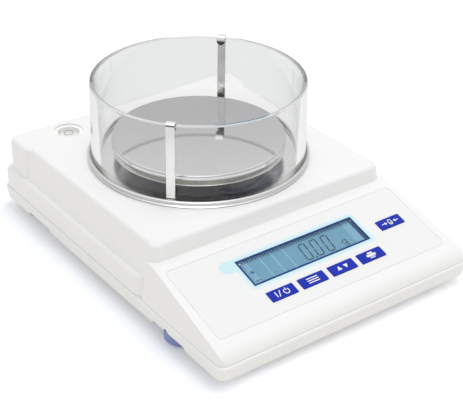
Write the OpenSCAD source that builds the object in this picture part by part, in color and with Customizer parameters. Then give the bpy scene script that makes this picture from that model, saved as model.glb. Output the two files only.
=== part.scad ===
// Laboratory scale with a round pan, a glass draft shield and a sloping display panel.
// Millimetres. The origin is on the table under the middle of the case; the front faces -Y.

/* [Case] */
// Width of the lower case at its top edge
case_w = 195; // [188:1:210]
// Depth of the lower case at its top edge
case_d = 260; // [254:1:280]
// Height of the underside above the table
base_z = 6; // [5.5:0.5:9]
// Height of the lower case
case_h = 10.5; // [10:0.5:13]
// Radius of the case corners in plan
corner_r = 6; // [4:0.5:9]
// Inward lean of the lower case between its top and bottom edges
case_draft = 1; // [0.5:0.1:2]
// Thickness of the floor of the lower case
floor_t = 2.5; // [2:0.1:3.5]
// Wall of the lower case
case_wall = 3; // [2.5:0.1:3.5]
// Height of the locating lip inside the upper cover
lip_h = 3; // [2:0.5:5]
// Thickness of the locating lip
lip_t = 1.5; // [1:0.1:2]

/* [Upper cover] */
// Wall of the upper cover
wall = 2.5; // [2:0.1:2.8]
// Step from the lower case's edge in to the upper cover
proud = 1.2; // [0.8:0.1:1.6]
// Height of the deck above the table
deck_z = 54; // [52:0.5:60]
// Inward lean of the cover's side walls, from the parting line up to the deck
side_lean = 6; // [4:0.5:8]
// Rounding of the deck's edge
deck_r = 3; // [1.5:0.5:4]
// Height of the side ledge above the table
ledge_z = 31; // [28:0.5:34]
// Outward step of the wall below the ledge
ledge_step = 1.4; // [1:0.1:2]
// Rounding of the ledge
ledge_r = 2.2; // [1:0.1:3]
// Distance from the case's front edge to the front end of the ledge
ledge_from_front = 81; // [78:1:90]
// Length of the upright block along the rear edge of the deck
block_len = 26; // [20:1:34]
// Distance from the case's rear edge in to the upright rear wall
block_back = 5; // [4:0.5:7]
// Radius of the hole for the pan carrier in the deck
deck_hole_r = 14; // [13:0.5:15]
// Height of the collar around that hole
collar_h = 2.6; // [2:0.1:3]
// Wall of the collar
collar_t = 2; // [1.5:0.1:2.2]

/* [Display panel] */
// Tilt of the panel from level
panel_tilt = 15.3; // [13:0.1:17]
// Distance from the case's front edge to the panel's back edge
panel_from_front = 76.5; // [74:0.5:79]
// Height of the panel's back edge above the table
panel_back_z = 42.6; // [41:0.1:46]
// Radius of the rounded nose in front of the panel
nose_r = 10; // [8:0.5:12]
// Inward lean of the panel's side walls, from the parting line up to its back edge
panel_lean = 4.2; // [3:0.1:5.5]
// Distance from the case's side edge in to the printed film
film_in = 9.5; // [8.5:0.5:11.5]
// Start of the film, from the panel's back edge
film_s0 = 7; // [6:0.5:8]
// Length of the film along the slope
film_len = 57.5; // [56.5:0.5:59]
// Thickness of the film
film_t = 0.5; // [0.4:0.05:0.6]
// Radius of the film's corners
film_r = 3; // [2:0.5:5]

/* [Display] */
// Share of the film's free width to the left of the display
disp_share = 0.66; // [0.6:0.01:0.68]
// Start of the display frame along the slope
disp_s0 = 18.8; // [17.5:0.1:19.5]
// Width of the display frame
disp_w = 90.6; // [86:0.2:96]
// Length of the display frame along the slope
disp_l = 21.4; // [20:0.1:22]
// Width of the coloured frame line
frame_t = 1.1; // [0.8:0.1:1.5]
// Ledge of the cover under the display window
window_seat = 1; // [0.8:0.1:1.5]
// Height of a digit
digit_h = 13.8; // [12:0.1:14]
// Width of a digit
digit_w = 5.5; // [5:0.1:6.5]
// Spacing of the digits
digit_pitch = 8.7; // [8:0.1:9.5]
// Width of a digit's strokes
stroke = 1.1; // [0.8:0.1:1.3]
// Slant of the digits
digit_slant = 6; // [0:1:10]
// Thickness of the liquid-crystal cell
lcd_t = 2.2; // [1.8:0.1:2.6]
// Margin of the cell past the display frame
lcd_margin = 1.5; // [0.5:0.1:2]
// Thickness of the backlight
light_t = 2.8; // [2:0.1:3]
// Thickness of the circuit boards
board_t = 1.6; // [1.2:0.1:2]

/* [Keys] */
// Width of a key
key_w = 19.2; // [17:0.1:20]
// Length of a key along the slope
key_l = 7.8; // [7:0.1:8.4]
// Distance from the display frame down to the key row
key_below = 7.4; // [6.3:0.1:8.8]
// Space between the keys of the row
key_space = 4.1; // [3.3:0.1:4.8]
// Distance from the display frame's left edge to the middle of the first key
key_in = 10.9; // [9:0.1:13]
// Share of the film's free width to the right of the tare key
tare_share = 0.166; // [0.14:0.002:0.18]
// Start of the tare key along the slope
tare_s0 = 30.1; // [28:0.1:33]
// Gap around a key in the film
key_gap = 0.2; // [0.15:0.05:0.3]
// Height of a key above the film
key_raise = 0.5; // [0.3:0.1:0.8]
// Travel of a key
key_travel = 0.3; // [0.2:0.05:0.4]
// Width of the flange that holds a key under the film
key_flange = 0.9; // [0.6:0.1:1.2]
// Thickness of that flange
key_flange_t = 0.7; // [0.6:0.1:0.9]
// Radius of a key's plunger
plunger_r = 2.2; // [1.8:0.1:2.6]
// Height of a switch body
switch_h = 3.6; // [3:0.1:4]
// Width of a switch body
switch_w = 6.2; // [5.5:0.1:6.8]

/* [Pan] */
// Radius of the pan
pan_r = 58; // [54:0.5:60]
// Height of the pan's face above the deck
pan_rise = 14.5; // [14:0.5:18]
// Height of the pan's side band
pan_skirt = 6.5; // [5.5:0.1:7]
// Sheet thickness of the pan
pan_t = 1; // [0.8:0.1:1.2]
// Distance from the case's rear edge to the middle of the pan, as a share of its depth
ring_share = 0.3827; // [0.373:0.0001:0.392]
// Radius of the hub under the pan
hub_r = 9; // [8:0.5:10]
// Height of the hub
hub_h = 8.6; // [8:0.1:9]

/* [Draft shield] */
// Outer radius of the glass
glass_r = 71; // [68:0.5:74]
// Wall of the glass
glass_t = 3.5; // [3:0.1:4]
// Height of the glass
glass_h = 54.5; // [50:0.5:65]
// Sheet thickness of the tray
tray_t = 0.8; // [0.6:0.1:1]
// Height of the tray's rim above the deck
tray_rim_h = 3.6; // [3:0.1:4.5]
// Gap between the glass and the tray's rim
tray_gap = 1.3; // [1.2:0.1:1.6]
// Thickness of the tray's rim
tray_rim_t = 0.9; // [0.7:0.1:1.2]
// Width of a clip
clip_w = 6.2; // [5:0.1:8]
// Thickness of a clip
clip_t = 0.8; // [0.6:0.1:0.9]
// Length of a clip's tongue inside the glass
tongue_l = 9; // [6:0.5:12]
// Direction of the rear clip, from +X
clip_angle = 41.5; // [30:0.5:60]

/* [Load cell] */
// Length of the load cell
cell_l = 110; // [100:1:120]
// Width of the load cell
cell_w = 20; // [18:0.5:24]
// Height of the load cell
cell_h = 22; // [20:0.5:24]
// Distance from the case's rear edge to the middle of the load cell, as a share of its depth
cell_share = 0.3577; // [0.343:0.0001:0.373]
// Radius of the two relief bores
relief_r = 7.5; // [6:0.5:8]
// Distance between the relief bores
relief_pitch = 34; // [28:1:40]
// Length of a spacer
spacer_l = 24; // [20:1:28]
// Thickness of a spacer
spacer_t = 2; // [1.5:0.1:3]
// Thickness of the base plate
plate_t = 3; // [2.5:0.1:4]
// Width of the base plate
plate_w = 52; // [46:1:56]
// Length of the base plate in front of the load cell
plate_front = 6; // [4:0.5:12]
// Length of the base plate behind the load cell
plate_rear = 16; // [14:0.5:22]
// Thickness of the carrier bracket
bracket_t = 3; // [2.5:0.1:3.5]
// Width of the carrier bracket
bracket_w = 24; // [22:0.5:30]
// Length of the carrier bracket behind the middle of its post
bracket_past = 13.5; // [12:0.5:20]
// Radius of the carrier post
post_r = 6; // [5:0.5:6.5]
// Radius of the post's top face
post_tip_r = 3.5; // [3:0.1:4.5]
// Height of the post's cone
cone_h = 5; // [4:0.5:6]
// Gap under the load cell to its overload stop
stop_gap = 0.3; // [0.2:0.1:0.5]

/* [Feet] */
// Distance of a levelling foot from the case's side edge
foot_in = 12.5; // [12:0.1:13.5]
// Distance from the case's front edge to the levelling feet
foot_from_front = 56.5; // [52:0.5:60]
// Radius of a thumbwheel
wheel_r = 11; // [10:0.1:11.4]
// Thickness of a thumbwheel
wheel_t = 7.8; // [6:0.1:8]
// Height of a thumbwheel's underside above the table
wheel_z = 1.2; // [0.8:0.1:1.6]
// Radius of a foot's threaded stem
stem_r = 2.5; // [2:0.1:2.6]
// Height of a stem's top end above the table
stem_top = 24; // [23:0.5:26]
// Radius of a foot pad
pad_r = 6.5; // [5.5:0.1:7]
// Height of a foot pad
pad_h = 2.6; // [2.2:0.1:3]
// Radius of the wheel pocket in the case
pocket_r = 12; // [11.7:0.1:12.5]
// Height of the wheel pocket above the underside
pocket_h = 5.5; // [5:0.1:6.5]
// Radius of a threaded insert
insert_r = 3.6; // [3.3:0.1:4]
// Height of a threaded insert
insert_h = 8; // [6:0.5:9]
// Length of the notches in the case's bottom edge
notch_l = 35; // [30:1:40]
// Distance of a front notch's middle ahead of its foot
notch_ahead = 2.5; // [0:0.5:4]
// Height of the notches
notch_h = 3.8; // [3:0.1:4.4]
// Distance from the case's rear edge to the rear feet
rear_foot_from_rear = 50; // [42:1:56]
// Distance of a rear foot from the case's side edge
rear_foot_in = 19; // [17:0.5:24]
// Radius of a rear foot
rear_foot_r = 8; // [7:0.5:9]

/* [Electronics] */
// Distance from the case's left edge in to the main board
board_in = 17.5; // [15.5:0.5:19.5]
// Width of the main board
board_w = 50; // [48:1:52]
// Distance from the case's rear edge to the main board
board_back = 14; // [13.5:0.1:14.5]
// Length of the main board
board_l = 80; // [76:1:84]
// Height of the main board's underside above the table
board_z = 16; // [15.5:0.1:17]
// Width of the data port
data_w = 31; // [30:0.5:33]
// Height of the data port's flange
data_h = 11; // [10:0.1:12]
// Width of the power jack
jack_w = 9; // [8:0.5:10]
// Radius of the plug bore in the power jack
jack_bore_r = 2.8; // [2.5:0.1:3.2]
// Thickness of the port plate
port_t = 1.2; // [1:0.1:1.5]

/* [Level] */
// Distance from the case's left edge to the level
level_in = 42.5; // [39.5:0.5:45.5]
// Distance from the case's rear edge to the level
level_from_rear = 21; // [19:0.5:24]
// Radius of the level's recess in the deck
level_r = 10; // [8:0.5:10.5]
// Depth of the level's recess
level_depth = 8.5; // [8:0.5:10]
// Depth of the level's ring below the deck
level_sink = 1.6; // [1:0.1:2.5]

/* [Fasteners] */
// Radius of the case screws' shanks
screw_r = 1.5; // [1.2:0.1:1.7]
// Radius of the case screws' heads
head_r = 2.8; // [2.4:0.1:3]
// Height of the case screws' heads
head_h = 2; // [1.6:0.1:2.4]
// Radius of the load cell screws' shanks
bolt_r = 2; // [1.8:0.1:2.2]
// Radius of the load cell screws' heads
bolt_head_r = 3.4; // [3:0.1:3.6]
// Depth of the heads' recess in the plates
bolt_recess = 2.1; // [2:0.1:2.4]

/* [Clearances] */
// Radial gap of a press or screw fit
fit = 0.05; // [0.03:0.01:0.08]
// Gap around seated parts
seat_gap = 0.15; // [0.1:0.05:0.25]

/* [Hidden] */
$fn = 72;
eps = 0.02;

// heights
part_z = base_z + case_h;
floor_z = base_z + floor_t;
lip_z = part_z + lip_h;

// places that follow the case's edges
panel_back_y = -case_d / 2 + panel_from_front;
ledge_front_y = -case_d / 2 + ledge_from_front;
ring_y = case_d * (0.5 - ring_share);
cell_front_y = case_d * (0.5 - cell_share) - cell_l / 2;
plate_y0 = cell_front_y - plate_front;
plate_l = cell_l + plate_front + plate_rear;
bracket_l = ring_y + bracket_past - cell_front_y;
foot_y = -case_d / 2 + foot_from_front;
rear_foot_y = case_d / 2 - rear_foot_from_rear;
board_x0 = -case_w / 2 + board_in;
board_y0 = case_d / 2 - board_back - board_l;
level_x = -case_w / 2 + level_in;
level_y = case_d / 2 - level_from_rear;
film_hw = case_w / 2 - film_in;

// upper cover in plan
cover_hw = case_w / 2 - proud - ledge_step;
skirt_hw = cover_hw + ledge_step;
cover_front = -case_d / 2 + proud;
cover_rear = case_d / 2 - proud;
block_y1 = case_d / 2 - block_back;
block_hw = cover_hw - ledge_step;
deck_front = panel_back_y + 2.6;
function lean_at(z) = side_lean * (z - part_z) / (deck_z - part_z);
function panel_lean_at(z) = panel_lean * (z - part_z) / (panel_back_z - part_z);
function slope_z(y) = panel_back_z + (y - panel_back_y) * tan(panel_tilt);
nose_y = cover_front + nose_r;
nose_z = slope_z(nose_y) - nose_r / cos(panel_tilt);

// display stack, measured along the panel's normal from its face
free_w = 2 * film_hw - disp_w - key_w;
disp_x0 = -film_hw + disp_share * free_w;
disp_x1 = disp_x0 + disp_w;
disp_x = (disp_x0 + disp_x1) / 2;
disp_s1 = disp_s0 + disp_l;
key_s0 = disp_s1 + key_below;
key_pitch = key_w + key_space;
key_x0 = disp_x0 + key_in;
tare_x = film_hw - tare_share * free_w - key_w / 2;
lcd_w1 = -wall - seat_gap;
lcd_w0 = lcd_w1 - lcd_t;
light_w1 = lcd_w0 - eps;
light_w0 = light_w1 - light_t;
board_w1 = light_w0 - 1;
board_w0 = board_w1 - board_t;
plunger_end = board_w1 + switch_h + key_travel + fit;
key_seat = -film_t - key_flange_t;
key_row_s = key_s0 + key_l / 2;
tare_s = tare_s0 + key_l / 2;
keys = [[key_x0, key_row_s], [key_x0 + key_pitch, key_row_s],
    [key_x0 + 2 * key_pitch, key_row_s], [key_x0 + 3 * key_pitch, key_row_s],
    [tare_x, tare_s]];
panel_board_hw = film_hw - 10;
panel_board_s0 = film_s0 + 1;
panel_board_s1 = film_s0 + film_len - 3;
panel_boss_x = panel_board_hw - 4;
panel_bosses = [for (x = [-panel_boss_x, panel_boss_x],
    s = [panel_board_s0 + 4, panel_board_s1 - 4]) [x, s]];

// load cell stack
plate_top = floor_z + plate_t;
cell_z0 = plate_top + spacer_t;
cell_z1 = cell_z0 + cell_h;
cell_rear_y = cell_front_y + cell_l;
bracket_z0 = cell_z1 + spacer_t;
bracket_z1 = bracket_z0 + bracket_t;
bolt_ys = [5, spacer_l - 5];
bolt_depth = 8;
bolt_head_h = 3.4;
relief_ys = [for (k = [-1, 1]) cell_front_y + cell_l / 2 + k * relief_pitch / 2];
pan_z = deck_z + pan_rise;
hub_z0 = pan_z - pan_t - hub_h;
cone_z0 = hub_z0 + 2.4;
post_top = cone_z0 + cone_h;
post_flange_r = 9;
post_flange_h = 3;

// draft shield
tray_in_r = glass_r + tray_gap;
tray_r = tray_in_r + tray_rim_t;
glass_z = deck_z + tray_t;
glass_top = glass_z + glass_h;
clip_face = glass_r + fit;
tongue_face = glass_r - glass_t - pow(clip_w / 2, 2) / (2 * (glass_r - glass_t)) - fit;

// feet and screws
foot_x = case_w / 2 - foot_in;
rear_foot_x = case_w / 2 - rear_foot_in;
pocket_z = base_z + pocket_h;
ceiling_t = 2;
stem_z0 = pad_h - 1.4;
boss_x = cover_hw - 7.6;
front_boss_y = cover_front + 11.5;
rear_boss_y = cover_rear - 14.5;
boss_seat = part_z - 1;
boss_r = 4;
front_boss_x = case_w / 2 - 27.5;
case_bosses = [[-front_boss_x, front_boss_y], [front_boss_x, front_boss_y], [-boss_x, 0], [boss_x, 0],
    [-boss_x, rear_boss_y], [boss_x, rear_boss_y]];
head_seat = base_z + 4.5;
screw_tip = head_seat + 11;

// boards and ports
board_top = board_z + board_t;
board_screws = [for (x = [board_x0 + 4, min(board_x0 + board_w, -plate_w / 2) - 4],
    y = [board_y0 + 4, board_y0 + board_l - 16]) [x, y]];
data_x = board_x0 + 2 + data_w / 2;
jack_x = board_x0 + board_w - 3 - jack_w / 2;
port_z0 = part_z + 1;
port_z1 = ledge_z - ledge_r - 0.4;
port_x0 = data_x - data_w / 2 - 3;
port_x1 = jack_x + jack_w / 2 + 3;
port_screw_x = (data_x + data_w / 2 + jack_x - jack_w / 2) / 2;
data_z = board_top + data_h / 2;
jack_h = 10;
jack_z = board_top + jack_h / 2;
level_floor = deck_z - level_depth;

// A rectangle with round corners, front and rear radii given
module round_plan(hw, y0, y1, r) {
    translate([-hw, y0 + r]) square([2 * hw, y1 - y0 - 2 * r]);
    translate([-hw + r, y0]) square([2 * (hw - r), y1 - y0]);
    for (sx = [-1, 1], y = [y0 + r, y1 - r]) translate([sx * (hw - r), y]) circle(r, $fn = 48);
}

// Four thin corner discs, the corners of one level of a blended shell
module level_corners(hw, y0, y1, z, rf, rr) {
    for (sx = [-1, 1]) {
        translate([sx * (hw - rf), y0 + rf, z]) cylinder(r = rf, h = eps, $fn = 32);
        translate([sx * (hw - rr), y1 - rr, z]) cylinder(r = rr, h = eps, $fn = 32);
    }
}

module at_ring() translate([0, ring_y, 0]) children();

module on_panel(x = 0, s = 0, w = 0)
    translate([0, panel_back_y, panel_back_z]) rotate([panel_tilt, 0, 0]) translate([x, -s, w]) children();

module panel_box(x0, x1, s0, s1, w0, w1) on_panel(x0, s1, w0) cube([x1 - x0, s1 - s0, w1 - w0]);

// A plate in the panel's plane with round corners
module panel_plate(x0, x1, s0, s1, w0, w1, r)
    on_panel((x0 + x1) / 2, 0, w0)
        linear_extrude(w1 - w0) round_plan((x1 - x0) / 2, -s1, -s0, r);

// The pan-head screw shape: head below the seat, shank above it
module screw_up(r, hr, hh, len) {
    cylinder(r = r, h = len);
    difference() {
        translate([0, 0, -hh]) cylinder(r = hr, h = hh);
        for (a = [0, 90]) rotate(a) translate([-hr * 0.6, -0.4, -hh - eps]) cube([hr * 1.2, 0.8, 0.9]);
    }
}

// The outer form of the upper cover's rear part: leaning walls up to the deck
module deck_form(inset) {
    hull() {
        level_corners(cover_hw - inset, deck_front - 2, block_y1 - block_len / 2, part_z - eps, corner_r, corner_r);
        level_corners(cover_hw - inset - lean_at(deck_z - deck_r), deck_front + inset,
            block_y1 - block_len / 2, deck_z - deck_r - inset, corner_r, corner_r);
        level_corners(cover_hw - inset - lean_at(deck_z) - deck_r * 0.3, deck_front + inset + deck_r * 0.3,
            block_y1 - block_len / 2, deck_z - deck_r * 0.3 - inset, corner_r, corner_r);
        level_corners(cover_hw - inset - lean_at(deck_z) - deck_r, deck_front + inset + deck_r,
            block_y1 - block_len / 2, deck_z - inset - eps, corner_r, corner_r);
    }
}

module rear_block() {
    hull() {
        level_corners(block_hw, block_y1 - block_len, block_y1, part_z - eps, corner_r, corner_r);
        level_corners(block_hw, block_y1 - block_len, block_y1, deck_z - deck_r, corner_r, corner_r);
        level_corners(block_hw - deck_r * 0.3, block_y1 - block_len + deck_r * 0.3,
            block_y1 - deck_r * 0.3, deck_z - deck_r * 0.3, corner_r, corner_r);
        level_corners(block_hw - deck_r, block_y1 - block_len + deck_r,
            block_y1 - deck_r, deck_z - eps, corner_r - deck_r / 2, corner_r - deck_r / 2);
    }
}

module skirt_form() {
    sweep_r = corner_r * 2;
    hull() {
        level_corners(skirt_hw, ledge_front_y, cover_rear, part_z - eps, sweep_r, corner_r);
        level_corners(skirt_hw, ledge_front_y, cover_rear, ledge_z - ledge_r, sweep_r, corner_r);
        level_corners(skirt_hw - ledge_r * 0.3, ledge_front_y + ledge_r * 0.3,
            cover_rear - ledge_r * 0.3, ledge_z - ledge_r * 0.3, sweep_r, corner_r);
        level_corners(skirt_hw - ledge_r, ledge_front_y + ledge_r,
            cover_rear - ledge_r, ledge_z - eps, sweep_r, corner_r);
    }
}

// Side profile of the panel wedge, as a section along Y and Z
module wedge_section(inset) {
    y_in = deck_front + wall + 1;
    top_in = inset / cos(panel_tilt);
    tangent = [nose_y - (nose_r - inset) * sin(panel_tilt), nose_z + (nose_r - inset) * cos(panel_tilt)];
    polygon([[y_in, part_z - 1], [cover_front + inset, part_z - 1],
        [cover_front + inset, min(nose_z, part_z)], [nose_y, nose_z], tangent,
        [panel_back_y, panel_back_z - top_in], [y_in, panel_back_z - top_in]]);
    translate([nose_y, nose_z]) circle(nose_r - inset, $fn = 96);
}

module wedge_form() {
    intersection() {
        rotate([90, 0, 90]) linear_extrude(case_w, center = true) wedge_section(0);
        hull() {
            level_corners(skirt_hw, cover_front, deck_front + 8, part_z - eps, corner_r, 1);
            level_corners(skirt_hw - panel_lean_at(panel_back_z + 2), cover_front, deck_front + 8,
                panel_back_z + 2, corner_r, 1);
        }
    }
}

// The hollow inside the upper cover
module cover_hollow() {
    deck_form(wall);
    block_top = deck_z - wall - part_z + eps;
    translate([0, 0, part_z - eps]) linear_extrude(block_top)
        round_plan(block_hw - wall, block_y1 - block_len, block_y1 - wall, corner_r - wall);
    translate([0, 0, part_z - eps]) linear_extrude(ledge_z - ledge_r - part_z - wall / 2)
        round_plan(skirt_hw - wall, ledge_front_y + corner_r, cover_rear - wall, corner_r - wall);
    intersection() {
        rotate([90, 0, 90]) linear_extrude(case_w, center = true) wedge_section(wall);
        translate([0, 0, part_z - eps]) linear_extrude(deck_z)
            round_plan(skirt_hw - panel_lean - wall, cover_front + wall, deck_front + 7, corner_r - wall);
    }
}

module upper_cover() {
    color("whitesmoke") difference() {
        union() {
            difference() {
                union() {
                    deck_form(0);
                    rear_block();
                    skirt_form();
                    wedge_form();
                }
                translate([-case_w, -case_d, part_z - 5]) cube([2 * case_w, 2 * case_d, 5]);
                cover_hollow();
            }
            cover_bosses();
            at_ring() translate([0, 0, deck_z - wall]) cylinder(r = deck_hole_r + collar_t, h = wall + collar_h);
            translate([level_x, level_y, level_floor - wall / 2])
                cylinder(r = level_r + wall / 2, h = level_depth);
        }
        at_ring() translate([0, 0, deck_z - wall - 1]) cylinder(r = deck_hole_r, h = wall + collar_h + 2);
        translate([level_x, level_y, level_floor]) cylinder(r = level_r, h = level_depth + 1);
        // the film's recess, the window, the keys' pockets and plunger holes
        panel_plate(-film_hw - seat_gap, film_hw + seat_gap, film_s0 - seat_gap,
            film_s0 + film_len + seat_gap, -film_t, 5, film_r);
        panel_box(disp_x0 + frame_t + window_seat, disp_x1 - frame_t - window_seat,
            disp_s0 + frame_t + window_seat, disp_s1 - frame_t - window_seat, -wall - 3, 1);
        for (k = keys) {
            panel_box(k[0] - key_w / 2 - key_flange - key_gap, k[0] + key_w / 2 + key_flange + key_gap,
                k[1] - key_l / 2 - key_flange - key_gap, k[1] + key_l / 2 + key_flange + key_gap,
                key_seat - key_travel - fit, 1);
            on_panel(k[0], k[1], -wall - 2) cylinder(r = plunger_r + key_gap, h = wall + 2);
        }
        for (b = panel_bosses) on_panel(b[0], b[1], board_w1 - 1) cylinder(r = screw_r * 0.8 + fit, h = 6);
        for (b = case_bosses) translate([b[0], b[1], boss_seat - 1])
            cylinder(r = screw_r + fit, h = screw_tip - boss_seat + 1.6);
        port_cuts();
    }
}

module cover_bosses() {
    for (b = case_bosses) {
        top = b[1] < panel_back_y ? slope_z(b[1]) - wall / 2 : ledge_z + 5;
        translate([b[0], b[1], boss_seat]) cylinder(r = boss_r, h = top - boss_seat);
    }
    for (b = panel_bosses) on_panel(b[0], b[1], board_w1) cylinder(r = 3, h = -board_w1 - wall / 2);
}

// The recess of the port plate and the openings behind it in the rear wall
module port_cuts() {
    translate([port_x0 - seat_gap, cover_rear - port_t, port_z0 - seat_gap])
        cube([port_x1 - port_x0 + 2 * seat_gap, port_t + 1, port_z1 - port_z0 + 2 * seat_gap]);
    translate([data_x - data_w / 2 - 0.4, cover_rear - wall - 6, part_z + 0.6])
        cube([data_w + 0.8, wall + 7, data_z + data_h / 2 + 0.4 - part_z - 0.6]);
    translate([jack_x - jack_w / 2 - 0.4, cover_rear - wall - 6, part_z + 0.6])
        cube([jack_w + 0.8, wall + 7, jack_z + jack_h / 2 + 0.4 - part_z - 0.6]);
    for (x = [port_x0 + 1.5, port_x1 - 1.5, port_screw_x])
        translate([x, cover_rear + 1, (port_z0 + port_z1) / 2]) rotate([90, 0, 0])
            cylinder(r = 0.8 + fit, h = wall + 1.6);
}

module case_form() {
    edge = 1.2;
    hull() {
        level_corners(case_w / 2 - case_draft - edge, -case_d / 2 + case_draft + edge,
            case_d / 2 - case_draft - edge, base_z, corner_r, corner_r);
        level_corners(case_w / 2 - case_draft, -case_d / 2 + case_draft, case_d / 2 - case_draft,
            base_z + edge, corner_r, corner_r);
        level_corners(case_w / 2, -case_d / 2, case_d / 2, part_z - 0.6, corner_r, corner_r);
        level_corners(case_w / 2 - 0.5, -case_d / 2 + 0.5, case_d / 2 - 0.5, part_z - eps, corner_r, corner_r);
    }
}

// The step that the bottom edge has at each foot, with sloping ends
module edge_notch(y, len) {
    for (sx = [-1, 1]) translate([sx * case_w / 2, y, 0]) rotate([90, 0, 90])
        linear_extrude(2 * foot_in, center = true)
            polygon([[-len / 2, base_z - 1], [len / 2, base_z - 1], [len / 2 - 1, base_z + notch_h],
                [-len / 2 + 1, base_z + notch_h]]);
}

// The raised floor over a notch and over a wheel pocket, kept inside the case's side
module foot_housing() {
    side_x = case_w / 2 - case_draft - 0.5;
    inner_x = skirt_hw - panel_lean - wall - seat_gap;
    depth = foot_in + 2;
    for (sx = [-1, 1]) {
        intersection() {
            translate([sx * foot_x, foot_y, base_z + 1]) cylinder(r = pocket_r + 1.8, h = pocket_h + ceiling_t - 1);
            translate([-side_x, -case_d / 2, 0]) cube([2 * side_x, case_d, part_z]);
        }
        intersection() {
            translate([sx * foot_x, foot_y, base_z + 1]) cylinder(r = insert_r + 1.6, h = pocket_h + insert_h - 1);
            translate([-inner_x, -case_d / 2, 0]) cube([2 * inner_x, case_d, deck_z]);
        }
        for (n = [[foot_y - notch_ahead, notch_l], [rear_foot_y, notch_l - 6]])
            translate([sx * (side_x - depth / 2) - depth / 2, n[0] - n[1] / 2 - 1.5, base_z + 1])
                cube([depth, n[1] + 3, notch_h + 0.6]);
    }
}

module lower_case() {
    lip_hw = cover_hw - wall - seat_gap;
    color("white") difference() {
        union() {
            difference() {
                case_form();
                translate([0, 0, floor_z]) linear_extrude(case_h)
                    round_plan(case_w / 2 - case_wall - proud, -case_d / 2 + case_wall + proud,
                        case_d / 2 - case_wall - proud, corner_r - case_wall);
            }
            case_lip(lip_hw);
            for (b = case_bosses) translate([b[0], b[1], base_z + 1])
                cylinder(r = head_r + 1.8, h = boss_seat - base_z - 1);
            foot_housing();
            for (b = board_screws) translate([b[0], b[1], floor_z - 1])
                cylinder(r = 3, h = board_z - floor_z + 1);
            floor_ribs();
            for (sx = [-1, 1]) translate([sx * rear_foot_x, rear_foot_y, floor_z - 1])
                cylinder(r = rear_foot_r * 0.7, h = 3);
        }
        edge_notch(foot_y - notch_ahead, notch_l);
        edge_notch(rear_foot_y, notch_l - 6);
        for (sx = [-1, 1]) translate([sx * foot_x, foot_y, base_z - 1]) {
            cylinder(r = pocket_r, h = pocket_h + 1);
            cylinder(r = insert_r + fit, h = pocket_h + insert_h + 3);
        }
        for (b = case_bosses) translate([b[0], b[1], 0]) {
            translate([0, 0, base_z - 1]) cylinder(r = head_r + 0.4, h = head_seat - base_z + 1);
            cylinder(r = screw_r + 0.3, h = part_z + lip_h);
            translate([0, 0, boss_seat]) cylinder(r = boss_r + seat_gap, h = lip_h + 2);
        }
        for (b = board_screws) translate([b[0], b[1], floor_z]) cylinder(r = screw_r * 0.8 + fit, h = board_z);
        for (x = [-1, 1], y = plate_screw_ys) translate([x * plate_screw_x, y, floor_z - 1.7])
            cylinder(r = screw_r + fit, h = 3);
        for (sx = [-1, 1]) translate([sx * rear_foot_x, rear_foot_y, base_z - 1])
            cylinder(r = rear_foot_r * 0.35 + fit, h = 8);
        // the bare place for a rating plate, under the case
        translate([20, -60, base_z - 1]) cube([50, 30, 1.3]);
    }
}

// The lip inside the upper cover's wall, in four straight runs clear of the ports
module case_lip(hw) {
    y0 = cover_front + wall + 1.5;
    z0 = floor_z - 1;
    h = lip_z - z0;
    side_y0 = ledge_front_y + 13;
    side_y1 = rear_boss_y - 22.3;
    front_x = front_boss_x - 10;
    rear_x = boss_x - 17.3;
    rear_y = cover_rear - wall - seat_gap - lip_t;
    for (sx = [-1, 1]) translate([sx * (hw - lip_t / 2) - lip_t / 2, side_y0, z0])
        cube([lip_t, side_y1 - side_y0, h]);
    translate([-front_x, y0, z0]) cube([2 * front_x, lip_t, h - 1]);
    translate([0, rear_y, z0]) cube([rear_x, lip_t, h]);
    for (sx = [-1, 1], y = [side_y0, (side_y0 + side_y1) / 2 - 2, side_y1 - 3])
        translate([sx * (hw + 1.5) - 3, y, z0]) cube([6, rib_t, part_z - z0 - 1]);
    for (x = [10 - front_x, 0, front_x - 10]) translate([x, -case_d / 2 + case_wall, z0])
        cube([rib_t, y0 + case_d / 2 - case_wall + 1, part_z - z0 - 1]);
    for (x = [4, rear_x / 2, rear_x - 4]) translate([x, rear_y, z0]) cube([rib_t, wall + lip_t + 1, part_z - z0 - 1]);
}

rib_t = 1.6;

// Ribs on the floor: a ladder beside the base plate and a comb in front of it
module floor_ribs() {
    x0 = plate_w / 2 + 10;
    x1 = rear_foot_x - 6.5;
    y0 = ledge_front_y + 3;
    y1 = rear_boss_y - 10.3;
    comb_y0 = -case_d / 2 + 26;
    comb_y1 = plate_y0 - 18;
    for (x = [x0 + 4, x1 - 14]) translate([x, y0, floor_z - 1]) cube([rib_t, y1 - y0, 5]);
    for (y = [y0, (y0 + y1) / 2, y1 - 2]) translate([x0, y, floor_z - 1]) cube([x1 - x0, rib_t, 5]);
    for (x = [-48, -24, 0, 24]) translate([x, comb_y0, floor_z - 1]) cube([rib_t, comb_y1 - comb_y0, 4]);
    translate([-60, comb_y1 - 2, floor_z - 1]) cube([100, rib_t, 4]);
}

module keypad_film() {
    color("white") difference() {
        panel_plate(-film_hw, film_hw, film_s0, film_s0 + film_len, -film_t, 0, film_r);
        panel_box(disp_x0, disp_x1, disp_s0, disp_s1, -film_t - 1, 1);
        for (k = keys) panel_box(k[0] - key_w / 2 - key_gap, k[0] + key_w / 2 + key_gap,
            k[1] - key_l / 2 - key_gap, k[1] + key_l / 2 + key_gap, -film_t - 1, 1);
    }
}

module display_frame() {
    color("navy") difference() {
        panel_box(disp_x0, disp_x1, disp_s0, disp_s1, -film_t, 0);
        panel_box(disp_x0 + frame_t, disp_x1 - frame_t, disp_s0 + frame_t, disp_s1 - frame_t, -film_t - 1, 1);
    }
}

module display_window() {
    color("lightblue", 0.4)
        panel_box(disp_x0 + frame_t, disp_x1 - frame_t, disp_s0 + frame_t, disp_s1 - frame_t, -film_t, 0);
}

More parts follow.
